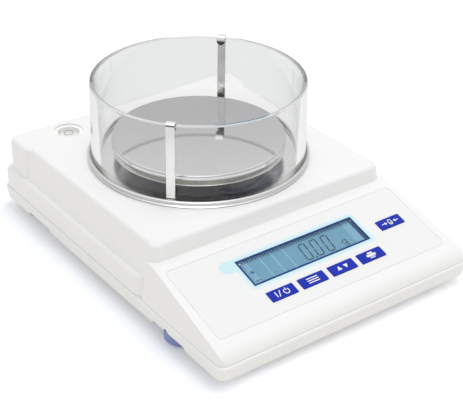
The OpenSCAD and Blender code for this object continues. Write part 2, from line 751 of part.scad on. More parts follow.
// A key: its cap, the flange under the film and the plunger above its switch
module key(k) {
    color("royalblue") {
        panel_plate(k[0] - key_w / 2, k[0] + key_w / 2, k[1] - key_l / 2, k[1] + key_l / 2,
            key_seat, key_raise, 0.8);
        panel_box(k[0] - key_w / 2 - key_flange, k[0] + key_w / 2 + key_flange,
            k[1] - key_l / 2 - key_flange, k[1] + key_l / 2 + key_flange, key_seat, -film_t);
        on_panel(k[0], k[1], plunger_end) cylinder(r = plunger_r, h = key_seat - plunger_end + 0.1);
    }
}
module key_power() key(keys[0]);
module key_menu() key(keys[1]);
module key_select() key(keys[2]);
module key_print() key(keys[3]);
module key_tare() key(keys[4]);

module key_switches() {
    button_h = 1;
    color("dimgray") for (k = keys) {
        on_panel(k[0] - switch_w / 2, k[1] + switch_w / 2, board_w1) cube([switch_w, switch_w, switch_h - button_h]);
        on_panel(k[0], k[1], board_w1) cylinder(r = plunger_r - 0.4, h = switch_h);
    }
}

module lcd_cell() {
    color("cadetblue") panel_box(disp_x0 - lcd_margin, disp_x1 + lcd_margin,
        disp_s0 - lcd_margin / 2, disp_s1 + lcd_margin / 2, lcd_w0, lcd_w1);
}

// One stroke of a digit, with pointed ends
module segment(len) {
    h = stroke / 2;
    polygon([[0, 0], [h, h], [len - h, h], [len, 0], [len - h, -h], [h, -h]]);
}

// A digit zero: the six outer strokes of the seven
module zero_digit() {
    gap = 0.15;
    side = (digit_h - stroke) / 2;
    across = digit_w - stroke;
    for (y = [0, 2 * side]) translate([gap, y]) segment(across - 2 * gap);
    for (x = [0, across], y = [0, side]) translate([x, y + gap]) rotate(90) segment(side - 2 * gap);
}

module slanted() multmatrix([[1, tan(digit_slant), 0, 0], [0, 1, 0, 0], [0, 0, 1, 0], [0, 0, 0, 1]]) children();

module lcd_segments() {
    ink = 0.08;
    digit_s = disp_s0 + disp_l - 1.6 - (disp_l - digit_h) / 4;
    digit_x = disp_x - 2.4;
    color("darkslategray") {
        for (k = [0:2]) on_panel(digit_x + k * digit_pitch, digit_s, lcd_w1)
            linear_extrude(ink) slanted() zero_digit();
        on_panel(digit_x + digit_w + 0.9, digit_s + 0.2, lcd_w1) cylinder(r = 0.7, h = ink, $fn = 24);
        // the unit: a bowl, a stem and a hooked tail
        on_panel(digit_x + 3.35 * digit_pitch, digit_s - 2.2, lcd_w1) linear_extrude(ink) unit_mark();
        // the row of state marks along the top, the sign and a stability mark
        for (k = [0:11]) on_panel(disp_x0 + 6 + k * 6.6, disp_s0 + 4, lcd_w1)
            cube([k % 3 == 2 ? 1 : 2.6, 0.7, ink]);
        on_panel(disp_x0 + 4, disp_s0 + disp_l / 2 + 0.4, lcd_w1) linear_extrude(ink) {
            translate([0, -0.25]) square([2.6, 0.5]);
            translate([1.05, 0.35]) square([0.5, 0.9]);
            translate([1.05, -1.25]) square([0.5, 0.9]);
        }
        on_panel(disp_x0 + 4.4, disp_s1 - 3.6, lcd_w1) cylinder(r = 0.6, h = ink, $fn = 24);
        on_panel(disp_x0 + 6.4, disp_s1 - 3.2, lcd_w1) cube([1.8, 0.7, ink]);
    }
}

module unit_mark() {
    bowl = 1.35;
    line = 0.5;
    difference() {
        circle(bowl, $fn = 32);
        circle(bowl - line, $fn = 32);
    }
    translate([bowl - line / 2, -2.6]) square([line, 3.9]);
    translate([-bowl * 0.8, -3]) square([bowl * 1.8 + line / 2, line]);
}

module lcd_holder() {
    side = lcd_margin + 0.3;
    thick = 1.6;
    color("gainsboro") difference() {
        panel_box(disp_x0 - side - thick, disp_x1 + side + thick,
            disp_s0 - side / 2 - thick, disp_s1 + side / 2 + thick, board_w1, -wall - eps);
        panel_box(disp_x0 - side, disp_x1 + side, disp_s0 - side / 2, disp_s1 + side / 2,
            light_w0 - eps, 0);
        panel_box(disp_x0 + 2, disp_x1 - 2, disp_s0 + 2, disp_s1 - 2, board_w1 - 1, 0);
    }
}

module backlight() {
    color("ivory") panel_box(disp_x0 - lcd_margin, disp_x1 + lcd_margin,
        disp_s0 - lcd_margin / 2, disp_s1 + lcd_margin / 2, light_w0, light_w1);
}

module display_board() {
    color("seagreen") difference() {
        panel_box(-panel_board_hw, panel_board_hw, panel_board_s0, panel_board_s1, board_w0, board_w1);
        for (b = panel_bosses) on_panel(b[0], b[1], board_w0 - 1) cylinder(r = screw_r * 0.8 + 0.15, h = 4);
    }
}

module display_board_screws() {
    r = screw_r * 0.8;
    color("silver") for (b = panel_bosses) on_panel(b[0], b[1], board_w0) screw_up(r, r * 1.9, 1.4, 5.6);
}

// A band of even thickness along a path of points
function band_normal(p, i) =
    let (a = p[max(i - 1, 0)], b = p[min(i + 1, len(p) - 1)], d = b - a, n = norm(d)) [-d[1] / n, d[0] / n];
function band_outline(p, t) = concat([for (i = [0:len(p) - 1]) p[i] + band_normal(p, i) * t / 2],
    [for (i = [len(p) - 1:-1:0]) p[i] - band_normal(p, i) * t / 2]);

ribbon_x = board_x0 + 24;
ribbon_w = 18;
header_h = 5;
ribbon_t = 0.9;
header_s = panel_board_s0 + 11.5;
header_y = board_y0 + 7;

module ribbon_cable() {
    a = panel_tilt;
    s = header_s - 2.5;
    out = [sin(a), -cos(a)];
    root = [panel_back_y - s * cos(a) + sin(a) * -board_w0, panel_back_z - s * sin(a) + board_w0 * cos(a)]
        + out * (header_h + 0.1);
    path = [root, root + out * 3, [root[0] + 3.4, root[1] - 5.2], [root[0] + 8, root[1] - 6.4],
        [panel_back_y + 17.5, floor_z + 6.4], [(panel_back_y + board_y0) / 2, floor_z + 6],
        [board_y0 - 16, floor_z + 6.4], [board_y0 - 9, board_top + 3],
        [board_y0 - 3, board_top + header_h / 2 + 0.4], [header_y - 0.1, board_top + header_h / 2]];
    color("lightgray") rotate([90, 0, 90]) translate([0, 0, ribbon_x - ribbon_w / 2])
        linear_extrude(ribbon_w) polygon(band_outline(path, ribbon_t));
}

module main_board() {
    color("seagreen") difference() {
        translate([board_x0, board_y0, board_z]) cube([board_w, board_l, board_t]);
        for (b = board_screws) translate([b[0], b[1], board_z - 1]) cylinder(r = screw_r * 0.8 + 0.15, h = 4);
    }
}

module board_components() {
    color("dimgray") {
        // the ribbon headers, on the main board and under the display board
        translate([ribbon_x - ribbon_w / 2 - 1.5, header_y, board_top]) cube([ribbon_w + 3, header_h, header_h]);
        on_panel(ribbon_x - ribbon_w / 2 - 1.5, header_s, board_w0 - header_h)
            cube([ribbon_w + 3, header_h, header_h]);
        // the load cell's header
        translate([board_x0 + board_w - 8, board_y0 + 26, board_top]) cube([7, 11, 6]);
        // the processor and the converter
        translate([board_x0 + 8, board_y0 + 18, board_top]) cube([10, 10, 1.6]);
        translate([board_x0 + 24, board_y0 + 15, board_top]) cube([8, 5, 1.4]);
        // two capacitors and the regulator
        for (y = [42, 50]) translate([board_x0 + 8, board_y0 + y, board_top]) cylinder(r = 3.2, h = 8);
        translate([board_x0 + 38, board_y0 + 44, board_top]) cube([9, 4.4, 9]);
        // small parts in rows
        for (k = [0:5]) translate([board_x0 + 15 + k * 3.4, board_y0 + board_l * 0.6875, board_top]) cube([1.8, 1, 0.8]);
        for (k = [0:4]) translate([board_x0 + 4.5, board_y0 + 18 + k * 4, board_top]) cube([1, 1.8, 0.8]);
    }
}

module shield_can() {
    x = board_x0 + board_w * 0.3;
    y = board_y0 + board_l * 0.375;
    w = board_w * 0.44;
    l = board_l / 4;
    sheet = 0.4;
    color("silver") difference() {
        translate([x, y, board_top]) cube([w, l, 5]);
        translate([x + sheet, y + sheet, board_top - 1]) cube([w - 2 * sheet, l - 2 * sheet, 6 - sheet]);
        for (i = [1:5], j = [1:5]) translate([x + i * w / 6, y + j * l / 6, board_top]) cylinder(r = 0.6, h = 6);
    }
}

module main_board_screws() {
    r = screw_r * 0.8;
    color("silver") for (b = board_screws) translate([b[0], b[1], board_top]) mirror([0, 0, 1])
        screw_up(r, r * 1.9, 1.4, 6);
}

module power_jack() {
    y1 = cover_rear - port_t;
    body_l = 14;
    color("black") difference() {
        translate([jack_x - jack_w / 2, y1 - body_l, board_top]) cube([jack_w, body_l, jack_h]);
        translate([jack_x, y1 + 1, jack_z]) rotate([90, 0, 0]) cylinder(r = jack_bore_r, h = body_l - 1);
    }
    color("silver") translate([jack_x, y1 - 1, jack_z]) rotate([90, 0, 0]) cylinder(r = 1, h = body_l - 2);
}

module data_port() {
    flange_t = 1;
    y1 = cover_rear - port_t;
    shell_w = 17;
    color("silver") difference() {
        union() {
            translate([data_x - data_w / 2, y1 - flange_t, data_z - data_h / 2]) cube([data_w, flange_t, data_h]);
            translate([data_x, y1, data_z]) rotate([-90, 0, 0]) linear_extrude(port_t + 0.1) d_outline(shell_w / 2);
            translate([data_x - shell_w / 2 - 1, y1 - flange_t - 9, data_z - data_h / 2])
                cube([shell_w + 2, 9, data_h]);
        }
        for (k = [-2:2]) translate([data_x + k * 2.76, y1 + 3, data_z + 1.4]) rotate([90, 0, 0])
            cylinder(r = 0.55, h = 8, $fn = 24);
        for (k = [-1.5:1.5]) translate([data_x + k * 2.76, y1 + 3, data_z - 1.4]) rotate([90, 0, 0])
            cylinder(r = 0.55, h = 8, $fn = 24);
    }
    // the two hexagonal jack posts
    color("silver") for (sx = [-1, 1]) translate([data_x + sx * 12.5, y1, data_z]) rotate([-90, 0, 0])
        difference() {
            cylinder(r = 2.6, h = port_t + 0.1, $fn = 6);
            translate([0, 0, 0.5]) cylinder(r = 1.3, h = 6);
        }
}

// The D-shaped outline of the data port's shell, wide side up
module d_outline(hw) {
    polygon([[-hw, -4], [hw, -4], [hw - 1.4, 4], [-hw + 1.4, 4]]);
}

module port_plate() {
    y0 = cover_rear - port_t;
    color("lightgray") difference() {
        translate([port_x0, y0, port_z0]) cube([port_x1 - port_x0, port_t, port_z1 - port_z0]);
        translate([data_x, y0 - 1, data_z]) rotate([-90, 0, 0]) linear_extrude(port_t + 2) d_outline(8.9);
        for (sx = [-1, 1]) translate([data_x + sx * 12.5, y0 - 1, data_z]) rotate([-90, 0, 0])
            cylinder(r = 2.9, h = port_t + 2);
        translate([jack_x, y0 - 1, jack_z]) rotate([-90, 0, 0]) cylinder(r = jack_bore_r + 0.6, h = port_t + 2);
        for (x = [port_x0 + 1.5, port_x1 - 1.5, port_screw_x])
            translate([x, y0 - 1, (port_z0 + port_z1) / 2]) rotate([-90, 0, 0]) cylinder(r = 0.9, h = port_t + 2);
    }
}

module port_plate_screws() {
    color("silver") for (x = [port_x0 + 1.5, port_x1 - 1.5, port_screw_x])
        translate([x, cover_rear - 0.3, (port_z0 + port_z1) / 2]) rotate([90, 0, 0]) {
            cylinder(r = 0.8, h = wall + 0.4);
            translate([0, 0, -0.3]) cylinder(r = 0.85, h = 0.3);
        }
}

plate_screw_x = plate_w / 2 - 5;
plate_screw_ys = [plate_y0 + 6, plate_y0 + plate_l - 6];
stop_y = cell_front_y + 6;

module base_plate() {
    color("slategray") difference() {
        translate([0, 0, floor_z]) linear_extrude(plate_t) round_plan(plate_w / 2, plate_y0, plate_y0 + plate_l, 3);
        for (x = [-1, 1], y = plate_screw_ys) translate([x * plate_screw_x, y, floor_z - 1])
            cylinder(r = screw_r + 0.2, h = plate_t + 2);
        for (y = bolt_ys) translate([0, cell_rear_y - y, floor_z - 1]) {
            cylinder(r = bolt_head_r + 0.2, h = bolt_recess + 1);
            cylinder(r = bolt_r + 0.2, h = plate_t + 2);
        }
        translate([0, stop_y, floor_z - 1]) cylinder(r = bolt_r + fit, h = plate_t + 2);
    }
}

module base_plate_screws() {
    color("silver") for (x = [-1, 1], y = plate_screw_ys) translate([x * plate_screw_x, y, plate_top])
        mirror([0, 0, 1]) screw_up(screw_r, head_r, head_h, plate_t + 1.5);
}

module load_cell() {
    mid_z = (cell_z0 + cell_z1) / 2;
    color("gainsboro") difference() {
        translate([-cell_w / 2, cell_front_y, cell_z0]) cube([cell_w, cell_l, cell_h]);
        for (y = relief_ys) translate([-cell_w, y, mid_z]) rotate([0, 90, 0]) cylinder(r = relief_r, h = 2 * cell_w);
        translate([-cell_w, relief_ys[0], mid_z - relief_r / 2]) cube([2 * cell_w, relief_pitch, relief_r]);
        for (y = bolt_ys) {
            translate([0, cell_rear_y - y, cell_z0 - 1]) cylinder(r = bolt_r + fit, h = bolt_depth + 2.5);
            translate([0, cell_front_y + y, cell_z1 - bolt_depth - 1.5]) cylinder(r = bolt_r + fit, h = bolt_depth + 3);
        }
    }
}

module strain_gauges() {
    side = relief_r * 4 / 3;
    color("white") for (y = relief_ys, z = [cell_z0 - 0.5, cell_z1])
        translate([-side / 2, y - side / 2, z]) cube([side, side, 0.5]);
}

module spacer(y0, z0) {
    difference() {
        translate([-cell_w / 2, y0, z0]) cube([cell_w, spacer_l, spacer_t]);
        for (y = bolt_ys) translate([0, y0 + y, z0 - 1]) cylinder(r = bolt_r + 0.2, h = spacer_t + 2);
    }
}
module cell_spacer_lower() color("silver") spacer(cell_rear_y - spacer_l, plate_top);
module cell_spacer_upper() color("silver") spacer(cell_front_y, cell_z1);

// A cap screw with a hexagon socket: shank up from its seat, head below
module bolt(len, hh) {
    cylinder(r = bolt_r, h = len);
    difference() {
        translate([0, 0, -hh]) cylinder(r = bolt_head_r, h = hh);
        translate([0, 0, -hh - eps]) cylinder(r = bolt_r * 0.8, h = hh * 0.6, $fn = 6);
    }
}

module cell_screws_lower() {
    seat = floor_z + bolt_recess;
    color("dimgray") for (y = bolt_ys) translate([0, cell_rear_y - y, seat])
        bolt(cell_z0 + bolt_depth - seat, bolt_recess - 0.1);
}

module cell_screws_upper() {
    color("dimgray") for (y = bolt_ys) translate([0, cell_front_y + y, bracket_z1]) mirror([0, 0, 1])
        bolt(bracket_z1 - cell_z1 + bolt_depth, bolt_head_h);
}

module carrier_bracket() {
    color("silver") difference() {
        translate([0, 0, bracket_z0]) linear_extrude(bracket_t)
            round_plan(bracket_w / 2, cell_front_y, cell_front_y + bracket_l, 4);
        for (y = bolt_ys) translate([0, cell_front_y + y, bracket_z0 - 1]) cylinder(r = bolt_r + 0.2, h = bracket_t + 2);
        at_ring() translate([0, 0, bracket_z0 - 1]) {
            cylinder(r = bolt_r + 0.2, h = bracket_t + 2);
            cylinder(r = bolt_head_r + 0.2, h = bolt_recess + 1);
        }
    }
}

module carrier_post() {
    color("gainsboro") at_ring() difference() {
        union() {
            translate([0, 0, bracket_z1]) cylinder(r = post_flange_r, h = post_flange_h);
            translate([0, 0, bracket_z1]) cylinder(r = post_r, h = cone_z0 - bracket_z1);
            translate([0, 0, cone_z0]) cylinder(r1 = post_r, r2 = post_tip_r, h = cone_h);
        }
        translate([0, 0, bracket_z1 - 1]) cylinder(r = bolt_r + fit, h = bolt_depth + 2);
    }
}

module carrier_post_screw() {
    seat = bracket_z0 + bolt_recess;
    color("dimgray") at_ring() translate([0, 0, seat]) bolt(bracket_z1 - seat + bolt_depth, bolt_recess - 0.1);
}

nut_h = 1.4;
module overload_stop() {
    color("silver") translate([0, stop_y, floor_z + 0.1])
        cylinder(r = bolt_r, h = cell_z0 - stop_gap - floor_z - 0.1);
}

module overload_nut() {
    color("silver") translate([0, stop_y, plate_top]) difference() {
        cylinder(r = bolt_r * 1.9, h = nut_h, $fn = 6);
        translate([0, 0, -1]) cylinder(r = bolt_r + fit, h = nut_h + 2);
    }
}

// Four wires from the load cell's side to its header on the main board
module cell_wires() {
    x0 = board_x0 + board_w - 1;
    y = board_y0 + 28;
    r = 0.6;
    color("firebrick") for (k = [0:3]) translate([x0, y + k * 2.2, board_top + 3]) rotate([0, 90, 0])
        cylinder(r = r, h = -cell_w / 2 - x0, $fn = 24);
}

module weighing_pan() {
    edge = 1.2;
    color("silver") at_ring() translate([0, 0, pan_z]) difference() {
        rotate_extrude($fn = 180) difference() {
            union() {
                translate([0, -pan_skirt]) square([pan_r, pan_skirt - edge]);
                translate([0, -pan_skirt]) square([pan_r - edge, pan_skirt]);
                translate([pan_r - edge, -edge]) circle(edge, $fn = 48);
            }
            translate([0, -pan_skirt - 1]) square([pan_r - pan_t, pan_skirt - pan_t + 1]);
            translate([pan_r - 0.35, -edge - 0.9]) square([1, 0.45]);
        }
    }
}

module pan_hub() {
    color("gainsboro") at_ring() difference() {
        translate([0, 0, hub_z0]) cylinder(r = hub_r, h = hub_h);
        translate([0, 0, hub_z0 - 1]) cylinder(r = post_r + fit, h = cone_z0 - hub_z0 + 1);
        translate([0, 0, cone_z0]) cylinder(r1 = post_r + fit, r2 = post_tip_r + fit, h = cone_h);
        translate([0, 0, post_top - eps]) cylinder(r = post_tip_r + fit, h = 0.1);
        translate([0, 0, hub_z0 + 3]) rotate_extrude() translate([hub_r, 0]) circle(1, $fn = 32);
    }
}

// The soft ring that grips the hub's groove
module hub_ring() {
    color("black") at_ring() translate([0, 0, hub_z0 + 3]) rotate_extrude() translate([hub_r, 0])
        circle(1 - fit, $fn = 32);
}

module shield_tray() {
    hole = deck_hole_r + collar_t + 0.5;
    color("silver") at_ring() translate([0, 0, deck_z]) rotate_extrude($fn = 180) {
        translate([hole, 0]) square([tray_r - tray_rim_t / 2 - hole, tray_t]);
        translate([tray_in_r, tray_t / 2]) square([tray_rim_t, tray_rim_h - tray_t / 2 - tray_rim_t / 2]);
        translate([tray_in_r + tray_rim_t / 2, tray_rim_h - tray_rim_t / 2]) circle(tray_rim_t / 2, $fn = 32);
        translate([tray_in_r + tray_rim_t / 2, 0]) intersection() {
            square([tray_rim_t / 2, tray_t]);
            translate([0, tray_rim_t / 2]) circle(tray_rim_t / 2, $fn = 32);
        }
    }
}

module shield_glass() {
    soft = 0.5;
    color("lightcyan", 0.35) at_ring() translate([0, 0, glass_z]) rotate_extrude($fn = 180)
        translate([glass_r - glass_t, 0]) {
            square([glass_t, glass_h - soft]);
            translate([soft, 0]) square([glass_t - 2 * soft, glass_h]);
            for (x = [soft, glass_t - soft]) translate([x, glass_h - soft]) circle(soft, $fn = 24);
        }
}

// A strip bent over the rim: outer leg, bridge and inner tongue, in section
module clip(angle) {
    lap = 0.35;
    top = glass_top + lap;
    foot = deck_z + tray_t + lap;
    color("silver") at_ring() rotate(angle) translate([0, clip_w / 2, 0]) rotate([90, 0, 0]) linear_extrude(clip_w)
        difference() {
            union() {
                translate([clip_face, foot]) square([clip_t, top - foot]);
                translate([tongue_face - clip_t, top]) square([clip_face - tongue_face + 2 * clip_t, clip_t]);
                translate([tongue_face - clip_t, top - tongue_l]) square([clip_t, tongue_l]);
            }
            translate([clip_face + clip_t - 0.25, top - 1.4]) square([1, 0.35]);
            translate([clip_face + clip_t - 0.25, deck_z + tray_rim_h + 0.6]) square([1, 0.35]);
        }
}
module clip_front() clip(clip_angle + 180);
module clip_rear() clip(clip_angle);

cup_r = level_r - seat_gap;
cup_t = 1.4;
cup_top = deck_z - level_sink;
vial_r = cup_r - cup_t - fit;
vial_top = cup_top - 0.6;

module level_cup() {
    color("white") translate([level_x, level_y, 0]) difference() {
        translate([0, 0, level_floor]) cylinder(r = cup_r, h = cup_top - level_floor);
        translate([0, 0, level_floor + 1]) cylinder(r = cup_r - cup_t, h = level_depth);
    }
}

module level_vial() {
    color("azure", 0.5) translate([level_x, level_y, 0]) difference() {
        translate([0, 0, level_floor + 1]) cylinder(r = vial_r, h = vial_top - level_floor - 1);
        translate([0, 0, level_floor + 1.8]) cylinder(r = vial_r - 0.9, h = vial_top - level_floor - 2.8);
    }
}

// The liquid, with the hollow of its bubble against the lid
module level_liquid() {
    liquid_top = vial_top - 1 - eps;
    bubble_r = 2.4;
    color("lightyellow", 0.6) translate([level_x, level_y, 0]) difference() {
        translate([0, 0, level_floor + 1.8 + eps])
            cylinder(r = vial_r - 0.9 - fit, h = liquid_top - level_floor - 1.8 - eps);
        translate([-1, 0.8, liquid_top + bubble_r * 0.35]) sphere(r = bubble_r, $fn = 48);
    }
}

// A wheel with finger flutes, a foot's recess below and the stem's bore
module thumbwheel(sx) {
    flutes = 24;
    edge = 1.2;
    color("slateblue") translate([sx * foot_x, foot_y, wheel_z]) difference() {
        union() {
            translate([0, 0, edge]) cylinder(r = wheel_r, h = wheel_t - edge - 0.6);
            cylinder(r1 = wheel_r - edge, r2 = wheel_r, h = edge);
            translate([0, 0, wheel_t - 0.6]) cylinder(r1 = wheel_r, r2 = wheel_r - 0.6, h = 0.6);
        }
        for (k = [0:flutes - 1]) rotate(k * 360 / flutes) translate([wheel_r + 0.55, 0, -1])
            cylinder(r = 0.9, h = wheel_t + 2, $fn = 24);
        translate([0, 0, -1]) cylinder(r = pad_r + 0.4, h = pad_h - wheel_z + 1.2);
        translate([0, 0, -1]) cylinder(r = stem_r + fit / 2, h = wheel_t + 2);
    }
}
module thumbwheel_left() thumbwheel(-1);
module thumbwheel_right() thumbwheel(1);

module foot_stem(sx) {
    color("silver") translate([sx * foot_x, foot_y, stem_z0]) {
        cylinder(r = stem_r, h = stem_top - stem_z0 - 0.8);
        translate([0, 0, stem_top - stem_z0 - 0.8]) cylinder(r1 = stem_r, r2 = stem_r - 0.8, h = 0.8);
    }
}
module foot_stem_left() foot_stem(-1);
module foot_stem_right() foot_stem(1);

module foot_pad(sx) {
    color("black") translate([sx * foot_x, foot_y, 0]) difference() {
        union() {
            cylinder(r1 = pad_r - 0.5, r2 = pad_r, h = 0.5);
            translate([0, 0, 0.5]) cylinder(r = pad_r, h = pad_h - 0.5);
        }
        translate([0, 0, stem_z0 - 0.2]) cylinder(r = stem_r + fit, h = pad_h);
    }
}
module foot_pad_left() foot_pad(-1);
module foot_pad_right() foot_pad(1);

module foot_inserts() {
    color("goldenrod") for (sx = [-1, 1]) translate([sx * foot_x, foot_y, pocket_z]) difference() {
        cylinder(r = insert_r, h = insert_h);
        translate([0, 0, -1]) cylinder(r = stem_r + fit, h = insert_h + 2);
    }
}

module rear_feet() {
    color("black") for (sx = [-1, 1]) translate([sx * rear_foot_x, rear_foot_y, 0]) {
        cylinder(r1 = rear_foot_r - 0.6, r2 = rear_foot_r, h = 0.6);
        translate([0, 0, 0.6]) cylinder(r = rear_foot_r, h = base_z - 0.6);
        translate([0, 0, base_z]) cylinder(r = rear_foot_r * 0.35, h = 5);
    }
}

module case_screws() {
    color("silver") for (b = case_bosses) translate([b[0], b[1], head_seat])
        screw_up(screw_r, head_r, head_h, screw_tip - head_seat);
}

lower_case();
upper_cover();
keypad_film();
display_frame();
display_window();
key_power();
key_menu();
key_select();
key_print();
key_tare();
key_switches();
lcd_cell();
lcd_segments();
lcd_holder();
backlight();
display_board();
display_board_screws();
ribbon_cable();
main_board();
board_components();
shield_can();
main_board_screws();
power_jack();
data_port();
port_plate();
port_plate_screws();
base_plate();
base_plate_screws();
load_cell();
strain_gauges();
cell_spacer_lower();
cell_spacer_upper();
cell_screws_lower();
cell_screws_upper();
carrier_bracket();
carrier_post();
carrier_post_screw();
overload_stop();
overload_nut();
cell_wires();
weighing_pan();
pan_hub();
hub_ring();
shield_tray();
shield_glass();
clip_front();
clip_rear();
level_cup();
level_vial();
level_liquid();
thumbwheel_left();
thumbwheel_right();
foot_stem_left();
foot_stem_right();
foot_pad_left();
foot_pad_right();
foot_inserts();
rear_feet();
case_screws();
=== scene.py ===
import bpy, bmesh, math
from mathutils import Matrix, Vector


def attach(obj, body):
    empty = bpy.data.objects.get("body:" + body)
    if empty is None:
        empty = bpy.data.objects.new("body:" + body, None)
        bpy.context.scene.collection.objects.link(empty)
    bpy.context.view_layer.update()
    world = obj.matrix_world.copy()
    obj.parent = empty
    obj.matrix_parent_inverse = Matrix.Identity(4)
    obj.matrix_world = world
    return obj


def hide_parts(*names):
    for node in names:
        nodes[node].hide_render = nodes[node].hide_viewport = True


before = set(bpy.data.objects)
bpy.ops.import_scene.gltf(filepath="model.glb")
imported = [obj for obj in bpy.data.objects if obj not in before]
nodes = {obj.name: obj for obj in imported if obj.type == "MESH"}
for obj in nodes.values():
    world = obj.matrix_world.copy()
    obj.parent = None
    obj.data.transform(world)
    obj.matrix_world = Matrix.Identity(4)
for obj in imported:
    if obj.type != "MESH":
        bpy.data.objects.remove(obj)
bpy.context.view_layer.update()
scene = bpy.context.scene
mm = 0.001
panCentre = (0.0, 0.0305)
levelCentre = (-0.055, 0.109)
print("stage: frame loaded,", len(nodes), "CAD nodes")


# helpers for meshes and node trees
def meshFrom(name, bm, outward=True):
    if outward:
        bmesh.ops.recalc_face_normals(bm, faces=bm.faces)
    mesh = bpy.data.meshes.new(name)
    bm.to_mesh(mesh)
    bm.free()
    return mesh


def asObject(name, mesh, material=None):
    obj = bpy.data.objects.new(name, mesh)
    scene.collection.objects.link(obj)
    if material:
        mesh.materials.clear()
        mesh.materials.append(mats[material])
    return obj


def newNodes(tree, *kinds, prefix="ShaderNode"):
    return [tree.nodes.new(prefix + kind) for kind in kinds]


def linkAll(tree, *pairs):
    for a, b in pairs:
        tree.links.new(a, b)
    return tree


def feed(tree, socket, term):
    # a socket takes a link, a colour or a number
    if isinstance(term, bpy.types.NodeSocket):
        tree.links.new(term, socket)
    else:
        socket.default_value = (*term, 1) if isinstance(term, tuple) else term


def maths(tree, op, *terms, clamp=False):
    n = tree.nodes.new("ShaderNodeMath")
    n.operation, n.use_clamp = op, clamp
    for socket, term in zip(n.inputs, terms):
        feed(tree, socket, term)
    return n.outputs[0]


def mixColour(tree, fac, a, b, blend="MIX"):
    n = tree.nodes.new("ShaderNodeMix")
    n.data_type, n.blend_type = "RGBA", blend
    for spot, term in ((0, fac), (6, a), (7, b)):
        feed(tree, n.inputs[spot], term)
    return n.outputs[2]


def tinted(tree, base, mask, share, colour):
    return mixColour(tree, maths(tree, "MULTIPLY", mask, share), base, colour)


def mapRange(tree, value, start, end, low=0.0, high=1.0, kind="SMOOTHSTEP"):
    n = tree.nodes.new("ShaderNodeMapRange")
    n.interpolation_type = kind
    for label, term in (("Value", value), ("From Min", start), ("From Max", end), ("To Min", low),
                        ("To Max", high)):
        feed(tree, n.inputs[label], term)
    return n.outputs[0]


def axes(tree, vector):
    n = tree.nodes.new("ShaderNodeSeparateXYZ")
    tree.links.new(vector, n.inputs[0])
    return n.outputs


def objectCoord(tree):
    return tree.nodes.new("ShaderNodeTexCoord").outputs["Object"]


def rays(tree, *kinds):
    path = tree.nodes.new("ShaderNodeLightPath")
    return [path.outputs[f"Is {kind} Ray"] for kind in kinds]


# camera, studio and lamp
cameraSet = {"place": (-0.41, -0.5567, 0.4374), "heading": 36.709, "down": 30.409, "roll": 0.8, "lens": 94.2}
worldSet = {"sky": 0.81, "skyTint": (0.985, 0.99, 1), "glossRise": (0.43, 0.60), "gloss": (0.80, 1.28),
            "boxWay": (-0.35, -0.46, 0.82), "boxEdge": (0.88, 0.97), "boxGlow": 1.5}
floorSet = {"half": 3, "below": 0.0002, "plain": (0.90, 0.903, 0.90), "past": 0.905,
            "seen": (0.878, 0.90, 0.942), "bounce": (0.93, 0.90, 0.86), "lift": 0.18,
            "frontPaintedLight": 0.23, "frontY": (-0.119, -0.128), "frontX": (0.12, 0.07)}
lampSet = {"power": 6.4, "size": 0.9, "place": (0.30, 0.02, 1.50)}


def makeCamera(c):
    data = bpy.data.cameras.new("photoCamera")
    data.lens, data.sensor_width = c["lens"], 36
    data.clip_start, data.clip_end = 0.05, 20
    cam = bpy.data.objects.new("photoCamera", data)
    scene.collection.objects.link(cam)
    turn = (Matrix.Rotation(-math.radians(c["heading"]), 4, "Z")
            @ Matrix.Rotation(math.pi / 2 - math.radians(c["down"]), 4, "X")
            @ Matrix.Rotation(math.radians(c["roll"]), 4, "Z"))
    cam.matrix_world = Matrix.Translation(c["place"]) @ turn
    scene.camera = cam


def makeWorld(c):
    world = scene.world or bpy.data.worlds.new("studio")
    scene.world = world
    world.use_nodes = True
    t = world.node_tree
    t.nodes.clear()
    out, light, seen, mix, way, dot = newNodes(
        t, "OutputWorld", "Background", "Background", "MixShader", "TexCoord", "VectorMath")
    light.inputs[0].default_value = (*c["skyTint"], 1)
    light.inputs[1].default_value = c["sky"]
    seen.inputs[0].default_value = (1, 1, 1, 1)
    # polished metal and glass show a paler sky overhead, and a soft box over the viewer's shoulder
    rise = mapRange(t, axes(t, way.outputs["Generated"])[2], *c["glossRise"], *c["gloss"])
    dot.operation = "DOT_PRODUCT"
    t.links.new(way.outputs["Generated"], dot.inputs[0])
    dot.inputs[1].default_value = Vector(c["boxWay"]).normalized()
    box = mapRange(t, dot.outputs["Value"], *c["boxEdge"], 0.0, c["boxGlow"])
    camera, glossy, through = rays(t, "Camera", "Glossy", "Transmission")
    polished = maths(t, "MULTIPLY", glossy, maths(t, "SUBTRACT", rise, 1.0))
    polished = maths(t, "ADD", polished, maths(t, "MULTIPLY", box, glossy))
    direct = maths(t, "MAXIMUM", maths(t, "MAXIMUM", camera, glossy), through)
    linkAll(t, (maths(t, "ADD", polished, 1.0), seen.inputs[1]), (direct, mix.inputs[0]),
            (light.outputs[0], mix.inputs[1]), (seen.outputs[0], mix.inputs[2]),
            (mix.outputs[0], out.inputs[0]))


